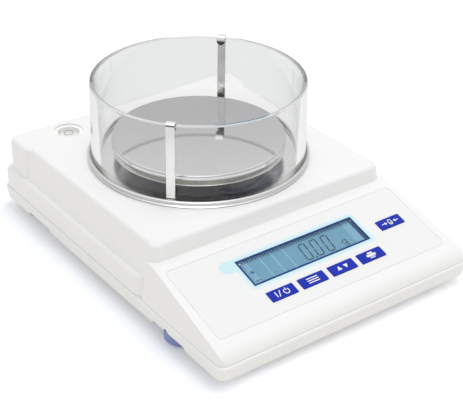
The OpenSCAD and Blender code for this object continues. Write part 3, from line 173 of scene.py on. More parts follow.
def makeFloor(c):
    bm = bmesh.new()
    bmesh.ops.create_grid(bm, x_segments=8, y_segments=8, size=c["half"])
    floor = asObject("studioFloor", meshFrom("studioFloor", bm, False))
    floor.location.z = -c["below"]
    m = bpy.data.materials.new("floorPaper")
    m.use_nodes = True
    t = m.node_tree
    t.nodes.clear()
    out, paper, lift, add = newNodes(t, "OutputMaterial", "BsdfDiffuse", "Emission", "AddShader")
    camera, bounced, through = rays(t, "Camera", "Diffuse", "Transmission")
    # painted shade: rays that come through the glass see the paper darker than it is
    past = tuple(v * c["past"] for v in c["plain"])
    tone = mixColour(t, bounced, c["plain"], c["bounce"])
    tone = mixColour(t, through, tone, past)
    t.links.new(mixColour(t, camera, tone, c["seen"]), paper.inputs[0])
    # painted light: camera rays see the paper paler in front of the scale, which lightens its shadow there
    at = axes(t, objectCoord(t))
    front = maths(t, "MULTIPLY", mapRange(t, at[1], *c["frontY"]),
                  mapRange(t, maths(t, "ABSOLUTE", at[0]), *c["frontX"]))
    paler = maths(t, "ADD", maths(t, "MULTIPLY", front, c["frontPaintedLight"]), c["lift"])
    lift.inputs[0].default_value = (1, 1, 1, 1)
    linkAll(t, (maths(t, "MULTIPLY", camera, paler), lift.inputs[1]), (paper.outputs[0], add.inputs[0]),
            (lift.outputs[0], add.inputs[1]), (add.outputs[0], out.inputs[0]))
    floor.data.materials.append(m)


def makeLamp(c):
    data = bpy.data.lights.new("keyLight", "AREA")
    data.shape, data.size, data.energy = "DISK", c["size"], c["power"]
    lamp = bpy.data.objects.new("keyLight", data)
    scene.collection.objects.link(lamp)
    lamp.location = c["place"]
    lamp.rotation_euler = (-Vector(c["place"])).to_track_quat("-Z", "Y").to_euler()
    lamp.visible_glossy = False  # polished steel mirrors the even studio, not the lamp


makeCamera(cameraSet)
makeWorld(worldSet)
makeFloor(floorSet)
makeLamp(lampSet)
scene.view_settings.view_transform = "Standard"
print("stage: camera, floor and lamp")


# shader groups that several finishes share
def makeGroup(name, ins, outs, kind="ShaderNodeTree"):
    g = bpy.data.node_groups.new(name, kind)
    for label, socket, *value in ins:
        made = g.interface.new_socket(name=label, in_out="INPUT", socket_type="NodeSocket" + socket)
        if value:
            made.default_value = value[0]
    for label, socket in outs:
        g.interface.new_socket(name=label, in_out="OUTPUT", socket_type="NodeSocket" + socket)
    return g, g.nodes.new("NodeGroupInput").outputs, g.nodes.new("NodeGroupOutput").inputs


def noise(tree, vector, scale, detail=2.0, rough=0.5):
    n = tree.nodes.new("ShaderNodeTexNoise")
    for label, term in (("Vector", vector), ("Scale", scale), ("Detail", detail), ("Roughness", rough)):
        feed(tree, n.inputs[label], term)
    return n.outputs[0]


reliefOuts = [("Height", "Float"), ("Mask", "Float")]


def toneDriftGroup():
    g, i, o = makeGroup("toneDrift", [("Colour", "Color", (0.8, 0.8, 0.8, 1)), ("Amount", "Float", 0.05),
                                      ("Scale", "Float", 14)], [("Colour", "Color")])
    n = noise(g, objectCoord(g), i["Scale"], 3)
    dark = mixColour(g, 1.0, i["Colour"], (0.55, 0.55, 0.53), "MULTIPLY")
    g.links.new(tinted(g, i["Colour"], n, i["Amount"], dark), o["Colour"])


def mouldGrainGroup():
    g, i, o = makeGroup("mouldGrain", [("Scale", "Float", 3500)], reliefOuts)
    at = objectCoord(g)
    fine = noise(g, at, i["Scale"], 2, 0.6)
    broad = noise(g, at, maths(g, "MULTIPLY", i["Scale"], 0.02), 3, 0.6)
    height = maths(g, "ADD", maths(g, "MULTIPLY", fine, 0.8), maths(g, "MULTIPLY", broad, 0.2))
    linkAll(g, (height, o["Height"]), (broad, o["Mask"]))


def squares(tree, a, b):
    total = maths(tree, "ADD", maths(tree, "MULTIPLY", a, a), maths(tree, "MULTIPLY", b, b))
    return maths(tree, "SQRT", total)


def turnedLinesGroup():
    g, i, o = makeGroup("turnedLines", [("Centre X", "Float", 0.0), ("Centre Y", "Float", 0.0),
                                        ("Scale", "Float", 2500)], reliefOuts)
    at = objectCoord(g)
    parts = axes(g, at)
    away = [maths(g, "SUBTRACT", parts[k], i["Centre " + axis]) for k, axis in enumerate("XY")]
    spot = g.nodes.new("ShaderNodeCombineXYZ")
    g.links.new(squares(g, *away), spot.inputs[0])
    g.links.new(maths(g, "MULTIPLY", parts[2], 0.7), spot.inputs[2])
    g.links.new(noise(g, spot.outputs[0], i["Scale"], 2, 0.6), o["Height"])
    g.links.new(noise(g, at, 60.0, 4, 0.65), o["Mask"])


def drawnLinesGroup():
    g, i, o = makeGroup("drawnLines", [("Along", "Vector", (1, 1, 0.02)), ("Scale", "Float", 3000)],
                        reliefOuts)
    at = objectCoord(g)
    n = g.nodes.new("ShaderNodeVectorMath")
    n.operation = "MULTIPLY"
    g.links.new(at, n.inputs[0])
    g.links.new(i["Along"], n.inputs[1])
    g.links.new(noise(g, n.outputs[0], i["Scale"], 2, 0.6), o["Height"])
    g.links.new(noise(g, at, 90.0, 3, 0.6), o["Mask"])


def panelAxes(tree):
    # the piece's own map, in millimetres
    uv = tree.nodes.new("ShaderNodeUVMap")
    uv.uv_map = "panelMap"
    return axes(tree, uv.outputs[0])


def roundMaskGroup():
    # 1 inside a rectangle with round corners
    g, i, o = makeGroup("roundMask", [(label, "Float", value) for label, value in (
        ("Centre X", 0), ("Centre Y", 0), ("Half X", 1), ("Half Y", 1), ("Corner", 1), ("Soft", 0.2))],
        [("Mask", "Float")])
    parts = panelAxes(g)
    far = []
    for k, axis in enumerate("XY"):
        d = maths(g, "ABSOLUTE", maths(g, "SUBTRACT", parts[k], i["Centre " + axis]))
        d = maths(g, "SUBTRACT", d, maths(g, "SUBTRACT", i["Half " + axis], i["Corner"]))
        far.append(maths(g, "MAXIMUM", d, 0.0))
    edge = maths(g, "DIVIDE", maths(g, "SUBTRACT", i["Corner"], squares(g, *far)), i["Soft"])
    g.links.new(maths(g, "ADD", edge, 0.5, clamp=True), o["Mask"])


for make in (toneDriftGroup, mouldGrainGroup, turnedLinesGroup, drawnLinesGroup, roundMaskGroup):
    make()


def useGroup(tree, name, **values):
    n = tree.nodes.new("ShaderNodeGroup")
    n.node_tree = bpy.data.node_groups[name]
    for label, value in values.items():
        label = label.replace("_", " ")
        n.inputs[label].default_value = (*value, 1) if label == "Colour" else value
    return n.outputs


def newMaterial(name, rough=0.5):
    m = bpy.data.materials.new(name)
    m.use_nodes = True
    shader = m.node_tree.nodes["Principled BSDF"]
    shader.inputs["Roughness"].default_value = rough
    return m, m.node_tree, shader


def spread(tree, value, low, high):
    return mapRange(tree, value, 0.25, 0.75, low, high, "LINEAR")


def bump(tree, shader, height, strength, depth):
    n = tree.nodes.new("ShaderNodeBump")
    n.inputs["Strength"].default_value, n.inputs["Distance"].default_value = strength, depth
    tree.links.new(height, n.inputs["Height"])
    tree.links.new(n.outputs[0], shader.inputs["Normal"])


def grained(tree, shader, relief, low, high, strength, depth):
    tree.links.new(spread(tree, relief["Mask"], low, high), shader.inputs["Roughness"])
    bump(tree, shader, relief["Height"], strength, depth)


def plastic(name, colour, rough, grain, scale, drift=0.06, spec=0.5, lift=0.0, seam=0.0):
    m, t, s = newMaterial(name)
    base = useGroup(t, "toneDrift", Colour=colour, Amount=drift, Scale=22.0)["Colour"]
    if seam:  # painted shade: darker along the lower edge, just above the seam, where shade falls in the joint
        low = maths(t, "LESS_THAN", axes(t, objectCoord(t))[2], seam * mm)
        base = tinted(t, base, low, 0.27, (0.47, 0.47, 0.46))
    t.links.new(base, s.inputs["Base Color"])
    grained(t, s, useGroup(t, "mouldGrain", Scale=float(scale)), rough - 0.05, rough + 0.07, grain, 0.00006)
    s.inputs["Specular IOR Level"].default_value = spec
    # painted light: the emission makes the surface glow though it is no lamp
    if lift:
        s.inputs["Emission Color"].default_value = (*colour, 1)
        s.inputs["Emission Strength"].default_value = lift
    return m


def metal(name, colour, rough, lines, grain, scale, along=(1, 1, 0.03)):
    m, t, s = newMaterial(name)
    base = useGroup(t, "toneDrift", Colour=colour, Amount=0.1, Scale=40.0)["Colour"]
    t.links.new(base, s.inputs["Base Color"])
    if lines == "turned":
        g = useGroup(t, "turnedLines", Centre_X=panCentre[0], Centre_Y=panCentre[1], Scale=float(scale))
    elif lines == "drawn":
        g = useGroup(t, "drawnLines", Along=along, Scale=float(scale))
    else:
        g = useGroup(t, "mouldGrain", Scale=float(scale))
    grained(t, s, g, rough * 0.8, rough * 1.3, grain, 0.00003)
    s.inputs["Metallic"].default_value = 1
    return m


def clear(name, tint, edge, ior, coat, turn, shade=(0.97, 0.975, 0.975)):
    # a clear wall that is darker where it is seen edge on
    m, t, s = newMaterial(name)
    facing, through, mix = newNodes(t, "LayerWeight", "BsdfTransparent", "MixShader")
    glossy, inside, shadow, bounced = rays(t, "Glossy", "Transmission", "Shadow", "Diffuse")
    facing.inputs[0].default_value = 0.5
    tone = mixColour(t, maths(t, "POWER", facing.outputs["Facing"], turn), tint, edge)
    drift = noise(t, objectCoord(t), 26.0, 2)
    t.links.new(tinted(t, tone, drift, 0.05, (0.85, 0.88, 0.87)), s.inputs["Base Color"])
    for label, value in (("Transmission Weight", 1), ("IOR", ior), ("Coat Weight", coat),
                         ("Coat Roughness", 0.02)):
        s.inputs[label].default_value = value
    t.links.new(spread(t, useGroup(t, "mouldGrain", Scale=400.0)["Mask"], 0.0, 0.015), s.inputs["Roughness"])
    # rays that light or mirror things go straight through
    mirrored = maths(t, "SUBTRACT", glossy, inside, clamp=True)
    t.links.new(mixColour(t, mirrored, shade, tone), through.inputs[0])
    other = maths(t, "MAXIMUM", shadow, bounced)
    linkAll(t, (maths(t, "MAXIMUM", other, mirrored), mix.inputs[0]), (s.outputs[0], mix.inputs[1]),
            (through.outputs[0], mix.inputs[2]), (mix.outputs[0], t.nodes["Material Output"].inputs[0]))
    return m


# colour, roughness, grain, its scale, drift
plastics = {
    "caseWhite": ((0.905, 0.903, 0.893), 0.38, 0.14, 4200, 0.05),
    "trayWhite": ((0.905, 0.905, 0.895), 0.40, 0.14, 4200, 0.05),
    "holderWhite": ((0.72, 0.72, 0.70), 0.5, 0.2, 3000),
    "navyPrint": ((0.011, 0.045, 0.21), 0.45, 0.08, 5000, 0.15),
    "keyBlue": ((0.003, 0.022, 0.42), 0.48, 0.10, 5000, 0.12),
    "switchBlack": ((0.03, 0.03, 0.033), 0.45, 0.2, 3000, 0.2),
    "inkGrey": ((0.018, 0.035, 0.085), 0.5, 0.05, 6000, 0.1),
    "lightPanel": ((0.80, 0.84, 0.80), 0.5, 0.1, 2500, 0.05),
    "partBlack": ((0.045, 0.045, 0.05), 0.5, 0.25, 2500, 0.3),
    "jackBlack": ((0.02, 0.02, 0.022), 0.38, 0.2, 3500, 0.2),
    "portGrey": ((0.30, 0.31, 0.32), 0.5, 0.3, 2500, 0.15),
    "gaugeWhite": ((0.75, 0.74, 0.68), 0.6, 0.3, 1500, 0.2),
    "softBlack": ((0.025, 0.025, 0.026), 0.7, 0.3, 1800, 0.2),
    "footRubber": ((0.035, 0.035, 0.037), 0.75, 0.4, 1500, 0.3),
    "wheelBlue": ((0.222, 0.277, 0.52), 0.36, 0.15, 3000, 0.12),
    "levelWhite": ((0.93, 0.93, 0.92), 0.35, 0.1, 4000, 0.06),
    "whitePrint": ((0.86, 0.87, 0.90), 0.45, 0.05, 6000, 0.04),
}
# caseWhite's seam setting paints a line of shade above the seam
extras = {"caseWhite": {"seam": 17.2}, "navyPrint": {"spec": 0.2}, "inkGrey": {"spec": 0.2},
          # levelWhite's lift is painted light, a glow that lightens the level's shaded recess
          "keyBlue": {"spec": 0.25}, "levelWhite": {"lift": 0.22}}
# colour, roughness, kind of line, its depth and scale, its way
metals = {
    "screwSteel": ((0.55, 0.55, 0.54), 0.28, "cast", 0.2, 2500),
    "tinPlate": ((0.62, 0.62, 0.60), 0.22, "cast", 0.12, 900),
    "portMetal": ((0.56, 0.56, 0.54), 0.24, "cast", 0.15, 2000),
    "plateSteel": ((0.42, 0.43, 0.44), 0.34, "drawn", 0.3, 2500, (1, 0.03, 1)),
    "cellAluminium": ((0.68, 0.68, 0.69), 0.3, "drawn", 0.25, 2500, (1, 0.04, 1)),
    "boltBlack": ((0.06, 0.06, 0.065), 0.4, "cast", 0.2, 2500),
    "carrierSteel": ((0.58, 0.58, 0.57), 0.25, "turned", 0.2, 2600),
    "panSteel": ((0.575, 0.57, 0.585), 0.05, "turned", 0.03, 2600),
    "traySteel": ((0.70, 0.69, 0.69), 0.2, "turned", 0.04, 2200),
    # panBand is a painted reflection on the pan's skirt
    "panBand": ((0.80, 0.78, 0.75), 0.2, "turned", 0.2, 2600),
    # clipShade is painted shade, a dark steel for creases, the clip tongue and the tray rim's foot
    "clipShade": ((0.09, 0.085, 0.08), 0.35, "drawn", 0.1, 3000),
    "panUnder": ((0.52, 0.53, 0.57), 0.09, "turned", 0.03, 2200),
    "clipSteel": ((0.91, 0.91, 0.90), 0.16, "drawn", 0.10, 3000),
    "stemSteel": ((0.52, 0.52, 0.50), 0.27, "cast", 0.2, 2600),
    "insertBrass": ((0.72, 0.53, 0.22), 0.28, "cast", 0.2, 2200),
}
# tint, tint edge on, refraction, coat, how late the edge darkens, what passes to other rays
clears = {
    "shieldClear": ((0.981, 0.984, 0.981), (0.30, 0.33, 0.30), 1.45, 0.0, 4.5),
    "rimClear": ((0.765, 0.785, 0.745), (0.10, 0.12, 0.10), 1.45, 0.0, 2.0),
    "windowClear": ((0.97, 0.98, 0.985), (0.9, 0.92, 0.93), 1.06, 0.4, 3.0),
    "levelClear": ((0.995, 0.997, 0.995), (0.9, 0.92, 0.9), 1.06, 1.0, 3.0, (0.995, 0.995, 0.995)),
    "levelFluid": ((0.985, 0.99, 0.955), (0.9, 0.93, 0.82), 1.06, 0.2, 3.0, (0.995, 0.995, 0.99)),
}
mats = {name: make(name, *values, **extras.get(name, {}))
        for make, table in ((plastic, plastics), (metal, metals), (clear, clears))
        for name, values in table.items()}


def boardMaterial():
    # solder mask with darker copper tracks under it
    m, t, s = newMaterial("boardGreen", 0.35)
    cells = t.nodes.new("ShaderNodeTexVoronoi")
    cells.distance, cells.feature = "MANHATTAN", "DISTANCE_TO_EDGE"
    cells.inputs["Scale"].default_value = 160
    t.links.new(objectCoord(t), cells.inputs["Vector"])
    track = maths(t, "LESS_THAN", cells.outputs[0], 0.035)
    t.links.new(mixColour(t, track, (0.012, 0.13, 0.05), (0.03, 0.24, 0.10)), s.inputs["Base Color"])
    bump(t, s, track, 0.3, 0.00003)
    return m


def ribbonMaterial(core=1.27, redEdge=-63.8):
    # grey flat cable with its cores in millimetres, and one red edge
    m, t, s = newMaterial("ribbonGrey", 0.5)
    across = axes(t, objectCoord(t))[0]
    red = maths(t, "LESS_THAN", across, redEdge * mm)
    t.links.new(mixColour(t, red, (0.45, 0.46, 0.47), (0.55, 0.05, 0.04)), s.inputs["Base Color"])
    bump(t, s, maths(t, "SINE", maths(t, "MULTIPLY", across, 2 * math.pi / (core * mm))), 0.6, 0.0002)
    return m


def wireMaterial(first=62.9, span=8.8):
    # four wires side by side, a colour for each
    m, t, s = newMaterial("wireColours", 0.45)
    colours = [(0.6, 0.03, 0.02), (0.02, 0.02, 0.02), (0.02, 0.25, 0.06), (0.8, 0.8, 0.78)]
    ramp = t.nodes.new("ShaderNodeValToRGB")
    ramp.color_ramp.interpolation = "CONSTANT"
    stops = ramp.color_ramp.elements
    while len(stops) < len(colours):
        stops.new(0.5)
    for k, (stop, colour) in enumerate(zip(stops, colours)):
        stop.position, stop.color = k / len(colours), (*colour, 1)
    along = maths(t, "SUBTRACT", axes(t, objectCoord(t))[1], first * mm)
    t.links.new(maths(t, "DIVIDE", along, span * mm), ramp.inputs[0])
    t.links.new(ramp.outputs[0], s.inputs["Base Color"])
    bump(t, s, noise(t, objectCoord(t), 2500, 2), 0.15, 0.00005)
    return m


mats.update(boardGreen=boardMaterial(), ribbonGrey=ribbonMaterial(), wireColours=wireMaterial())
print("stage: materials,", len(mats))


# making and finishing a piece
def soften(mesh, angle):
    mesh.shade_smooth()
    mesh.set_sharp_from_angle(angle=math.radians(angle))


def edgeRound(obj, width, angle=40, segments=3):
    b = obj.modifiers.new("edgeRound", "BEVEL")
    b.width, b.segments, b.limit_method, b.angle_limit = width * mm, segments, "ANGLE", math.radians(angle)
    b.miter_outer = "MITER_ARC"
    w = obj.modifiers.new("flatFaces", "WEIGHTED_NORMAL")
    w.keep_sharp, w.weight = True, 80


def cadCopy(name, node, material, width=0.3, angle=40, merge=0.002, segments=2):
    mesh = nodes[node].data.copy()
    mesh.name = name
    bm = bmesh.new()
    bm.from_mesh(mesh)
    bmesh.ops.remove_doubles(bm, verts=bm.verts, dist=merge * mm)
    bmesh.ops.dissolve_degenerate(bm, edges=bm.edges, dist=merge * mm)
    bm.to_mesh(mesh)
    bm.free()
    soften(mesh, angle)
    obj = asObject(name, mesh, material)
    if width:
        edgeRound(obj, width, angle, segments)
    return obj


def finishPiece(obj, body, slot, *replaced):
    if replaced:
        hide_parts(*replaced)
    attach(obj, body)


def dressNode(name, node, material, slot, width, angle=40, body="case", **more):
    finishPiece(cadCopy(name, node, material, width, angle, **more), body, slot, node)


def fillet(points, steps=5):
    # corners (r, z, radius) of a closed outline, each turned into an arc
    out = []
    count = len(points)
    for k, (x, y, radius) in enumerate(points):
        p = Vector((x, y))
        a = (Vector(points[k - 1][:2]) - p)
        b = (Vector(points[(k + 1) % count][:2]) - p)
        if radius <= 0 or a.length < 1e-9 or b.length < 1e-9:
            out.append(p)
            continue
        half = a.angle(b) / 2
        if abs(half - math.pi / 2) < 1e-4:
            out.append(p)
            continue
        cut = min(radius / math.tan(half), a.length * 0.49, b.length * 0.49)
        real = cut * math.tan(half)
        a.normalize()
        b.normalize()
        centre = p + (a + b).normalized() * (real / math.sin(half))
        p0, p1 = p + a * cut - centre, p + b * cut - centre
        for s in range(steps + 1):
            out.append(centre + p0.slerp(p1, s / steps) if p0.angle(p1) > 1e-5 else p)
    return out


def lathe(name, outline, material, centre, steps=160, closed=True):
    # outline in millimetres as (r, z) or (r, z, radius), turned about an upright axis
    corners = [(p[0], p[1]) for p in (fillet(outline) if len(outline[0]) == 3 else outline)]
    held = []
    for k, (r, z) in enumerate(corners):
        r1, z1 = corners[(k + 1) % len(corners)]
        far = math.hypot(r1 - r, z1 - z)
        held.append((r, z))
        if far > 0.9:  # a point close to each end of a straight length keeps its shading flat
            held += [(r + (r1 - r) * share, z + (z1 - z) * share) for share in (0.12 / far, 1 - 0.12 / far)]
    bm = bmesh.new()
    rows = []
    for r, z in held:
        if r < 1e-6:
            rows.append([bm.verts.new((*centre, z * mm))] * steps)
            continue
        row = []
        for a in (2 * math.pi * k / steps for k in range(steps)):
            x, y = centre[0] + r * mm * math.cos(a), centre[1] + r * mm * math.sin(a)
            row.append(bm.verts.new((x, y, z * mm)))
        rows.append(row)
    for i in range(len(rows) if closed else len(rows) - 1):
        a, b = rows[i], rows[(i + 1) % len(rows)]
        for k in range(steps):
            n = (k + 1) % steps
            corner = list(dict.fromkeys((a[k], a[n], b[n], b[k])))
            if len(corner) > 2:
                bm.faces.new(corner)
    bmesh.ops.remove_doubles(bm, verts=bm.verts, dist=1e-7)
    mesh = meshFrom(name, bm)
    soften(mesh, 30)
    return asObject(name, mesh, material)


# trees that repeat a part
def ribTree():
    g, i, o = makeGroup("wheelRibs", [("Rib Count", "Int", 40), ("Ring Radius", "Float", 0.01),
                                      ("Rib Radius", "Float", 0.0005), ("Rib Height", "Float", 0.006),
                                      ("Centre", "Vector", (0, 0, 0)), ("Finish", "Material")],
                        [("Geometry", "Geometry")], "GeometryNodeTree")
    circle, rib, put, real, move, paint = newNodes(
        g, "MeshCircle", "MeshCylinder", "InstanceOnPoints", "RealizeInstances", "Transform", "SetMaterial",
        prefix="GeometryNode")
    rib.inputs["Vertices"].default_value = 10
    return linkAll(
        g,
        (i["Rib Count"], circle.inputs["Vertices"]), (i["Ring Radius"], circle.inputs["Radius"]),
        (i["Rib Radius"], rib.inputs["Radius"]), (i["Rib Height"], rib.inputs["Depth"]),
        (circle.outputs[0], put.inputs["Points"]), (rib.outputs["Mesh"], put.inputs["Instance"]),
        (put.outputs[0], real.inputs[0]), (real.outputs[0], move.inputs[0]),
        (i["Centre"], move.inputs["Translation"]), (move.outputs[0], paint.inputs[0]),
        (i["Finish"], paint.inputs["Material"]), (paint.outputs[0], o[0]))


def repeatTree():
    # one part on every point, turned by a fixed angle from the seed
    g, i, o = makeGroup("partOnPoints", [("Points", "Geometry"), ("Part", "Object"),
                                         ("Turn Range", "Float", 1.5), ("Seed", "Int", 7),
                                         ("Finish", "Material")],
                        [("Geometry", "Geometry")], "GeometryNodeTree")
    part, put, real, paint = newNodes(g, "ObjectInfo", "InstanceOnPoints", "RealizeInstances", "SetMaterial",
                                      prefix="GeometryNode")
    rand, spin = newNodes(g, "FunctionNodeRandomValue", "ShaderNodeCombineXYZ", prefix="")
    rand.data_type = "FLOAT"
    return linkAll(
        g,
        (i["Part"], part.inputs["Object"]), (i["Points"], put.inputs["Points"]),
        (part.outputs["Geometry"], put.inputs["Instance"]), (i["Turn Range"], rand.inputs[3]),
        (i["Seed"], rand.inputs["Seed"]), (rand.outputs[1], spin.inputs[2]),
        (spin.outputs[0], put.inputs["Rotation"]), (put.outputs[0], real.inputs[0]),
        (real.outputs[0], paint.inputs[0]), (i["Finish"], paint.inputs["Material"]),
        (paint.outputs[0], o[0]))


def runTree(name, tree, points, **values):
    # gives the tree's result as a plain mesh object
    mesh = bpy.data.meshes.new(name + "Points")
    mesh.from_pydata(points, [], [])
    holder = asObject(name, mesh)
    mod = holder.modifiers.new("build", "NODES")
    mod.node_group = tree
    keys = {s.name: s.identifier for s in tree.interface.items_tree if s.in_out == "INPUT"}
    for label, value in values.items():
        mod[keys[label.replace("_", " ")]] = value
    bpy.context.view_layer.update()
    done = bpy.data.meshes.new_from_object(holder.evaluated_get(bpy.context.evaluated_depsgraph_get()))
    holder.modifiers.clear()
    holder.data = done
    done.name = name
    return holder


def join(name, *objs):
    bm = bmesh.new()
    for obj in objs:
        bm.from_mesh(obj.data)
    mesh = meshFrom(name, bm, False)
    mesh.materials.append(objs[0].data.materials[0])
    for obj in objs:
        bpy.data.objects.remove(obj)
    return asObject(name, mesh)


ribs = ribTree()
screws = repeatTree()

# the sloping panel: x across it, s down its slope and w out of it, in millimetres from its top edge
tilt = math.radians(15.3)
topY, topZ = -53.5, 42.6


def panelPoint(x, s, w):
    return Vector((x, topY - s * math.cos(tilt) - w * math.sin(tilt),
                   topZ - s * math.sin(tilt) + w * math.cos(tilt))) * mm


def panelSpot(co):
    co = co / mm
    return co.x, -((co.y - topY) * math.cos(tilt) + (co.z - topZ) * math.sin(tilt))


def panelMap(obj):
    # the piece's own map, in millimetres across the panel and down its slope
    mesh = obj.data
    layer = mesh.uv_layers.new(name="panelMap")
    for loop in mesh.loops:
        layer.data[loop.index].uv = panelSpot(mesh.vertices[loop.vertex_index].co)


def panelSheet(name, xs, ss, isOpen, low, high, material, corner=0.0):
    # a flat sheet on the panel, from a grid of cells; isOpen says which cells are cut out
    spots, faces = {}, []
    xs, ss = sorted({round(x, 4) for x in xs}), sorted({round(s, 4) for s in ss})

    def spot(x, s):
        return spots.setdefault((round(x, 4), round(s, 4)), len(spots))

    for i in range(len(xs) - 1):
        for j in range(len(ss) - 1):
            x0, x1, s0, s1 = xs[i], xs[i + 1], ss[j], ss[j + 1]
            if isOpen((x0 + x1) / 2, (s0 + s1) / 2):
                continue
            loop = [(x0, s1), (x1, s1), (x1, s0), (x0, s0)]
            if corner and i in (0, len(xs) - 2) and j in (0, len(ss) - 2):
                cx, cs = (x1 if i == 0 else x0), (s1 if j == 0 else s0)
                first = {(True, False): 180, (False, False): 270,
                         (False, True): 0, (True, True): 90}[(i == 0, j == 0)]
                turns = [math.radians(first + 90 * k / 8) for k in range(9)]
                loop = [(cx, cs)] + [(cx + corner * math.cos(a), cs - corner * math.sin(a)) for a in turns]
            faces.append([spot(*q) for q in loop])
    flat = list(spots)
    top = [panelPoint(x, s, high) for x, s in flat]
    under = [panelPoint(x, s, low) for x, s in flat]
    directed = {(f[k], f[(k + 1) % len(f)]) for f in faces for k in range(len(f))}
    sides = [(a, b) for a, b in directed if (b, a) not in directed]
    n = len(flat)
    mesh = bpy.data.meshes.new(name)
    mesh.from_pydata(top + under, [], faces + [[q + n for q in f[::-1]] for f in faces]
                     + [(b, a, a + n, b + n) for a, b in sides])
    bm = bmesh.new()
    bm.from_mesh(mesh)
    bmesh.ops.recalc_face_normals(bm, faces=bm.faces)
    bm.to_mesh(mesh)
    bm.free()
    soften(mesh, 30)
    return asObject(name, mesh, material)


# the white housing
shellSet = {"edge": 0.5, "caseEdge": 0.4, "ledge": 31, "round": 2.2, "share": 0.3, "near": 0.02,
            "out": 0.5, "up": 0.45, "tuck": 1.2}


def squareLedge(obj, c):
    # the ledge's rounding is drawn up and out, so that its top catches the light as one narrow line
    bm = bmesh.new()
    bm.from_mesh(obj.data)
    bm.normal_update()
    for v in bm.verts:
        under = c["ledge"] - v.co.z / mm
        if abs(under - c["share"] * c["round"]) < c["near"]:
            side = Vector((v.normal.x, v.normal.y, 0)).normalized()
            v.co += side * c["out"] * mm + Vector((0, 0, c["up"] * mm))
        elif abs(under - c["round"]) < c["near"]:
            v.co.z += c["tuck"] * mm
    bm.to_mesh(obj.data)
    bm.free()


shell = cadCopy("upperShell", "upper_cover", "caseWhite", shellSet["edge"], 50, 0.004, 3)
squareLedge(shell, shellSet)
finishPiece(shell, "case", "case_white", "upper_cover")
dressNode("lowerShell", "lower_case", "trayWhite", "case_white", shellSet["caseEdge"], merge=0.004,
          segments=3)
print("stage: housing")

# pan, tray, glass and clips
panSet = {"radius": 58, "top": 68.5, "skirt": 6.5, "sheet": 1.0, "roll": 1.2, "line": 0.35}
shieldSet = {"outer": 71, "wall": 3.5, "bottom": 54.8, "top": 109.3, "rim": 1.3}
traySet = {"hole": 16.5, "inner": 72.3, "outer": 73.2, "bottom": 54, "sheet": 0.8, "rim": 57.6, "shade": 1.3}
clipSet = {"width": 5.8, "sheet": 0.6, "gap": 0.05, "lap": 0.2, "tongue": 6.6, "bend": 0.7, "foot": 0.35,
           "legStart": 56.6, "lowCrease": 58.4, "topCrease": 0.65, "crease": 0.12, "clipFront": 221.0,
           "clipRear": 41.9}


def paintFaces(obj, material, test):
    obj.data.materials.append(mats[material])
    for face in obj.data.polygons:
        if test(face):
            face.material_index = len(obj.data.materials) - 1


def fromPanAxis(at):
    return math.hypot(at.x - panCentre[0], at.y - panCentre[1]) / mm


def makePan(c):
    r, z, t, low = c["radius"], c["top"], c["sheet"], c["top"] - c["skirt"]
    groove, deep, band = z - c["roll"] - 0.45, r - c["line"], r - 0.05
    outline = [(0, z, 0), (r - 0.6, z, 1.1), (r, z - 0.8, 1.1), (r, groove, 0.1), (deep, groove - 0.1, 0.1),
               (deep, groove - 0.45, 0.1), (band, groove - 0.6, 0.15), (band, low, 0.35),
               (r - t, low, 0.35), (r - t, z - t, 0.8), (0, z - t, 0)]
    pan = lathe("weighingPan", outline, "panSteel", panCentre, 220)
    # painted reflection: the skirt takes a paler, beige steel that stands in for the bright reflections on
    # it
    paintFaces(pan, "panBand", lambda face: face.center.z < groove * mm and face.normal.z > -0.3
               and fromPanAxis(face.center) > r - t / 2)
    paintFaces(pan, "panUnder", lambda face: face.normal.z < -0.6 and face.center.z > (z - 2 * t) * mm)
    finishPiece(pan, "pan", "pan_steel", "weighing_pan")


def makeTray(c):
    low, floor, shade = c["bottom"], c["bottom"] + c["sheet"], c["bottom"] + c["shade"]
    outline = [(c["hole"], low, 0.2), (c["outer"], low, 0.3), (c["outer"], shade, 0),
               (c["outer"], c["rim"], 0.44), (c["inner"], c["rim"], 0.44), (c["inner"], floor, 0.5),
               (c["hole"], floor, 0.3)]
    tray = lathe("shieldTray", outline, "traySteel", panCentre, 220)
    # painted shade: the lowest outer band of the rim is a dark steel, a painted shadow line where the rim
    # meets the deck
    paintFaces(tray, "clipShade", lambda face: face.center.z < shade * mm and face.normal.z < 0.3
               and fromPanAxis(face.center) > c["outer"] - 1)
    finishPiece(tray, "case", "tray_steel", "shield_tray")


def makeGlass(c):
    inner = c["outer"] - c["wall"]
    outline = [(inner, c["bottom"], 0.35), (c["outer"], c["bottom"], 0.35), (c["outer"], c["top"], c["rim"]),
               (inner, c["top"], c["rim"])]
    glass = lathe("shieldGlass", outline, "shieldClear", panCentre, 220)
    paintFaces(glass, "rimClear", lambda face: face.center.z > (c["top"] - c["rim"] - 0.01) * mm)
    finishPiece(glass, "shield", "shield_clear", "shield_glass")


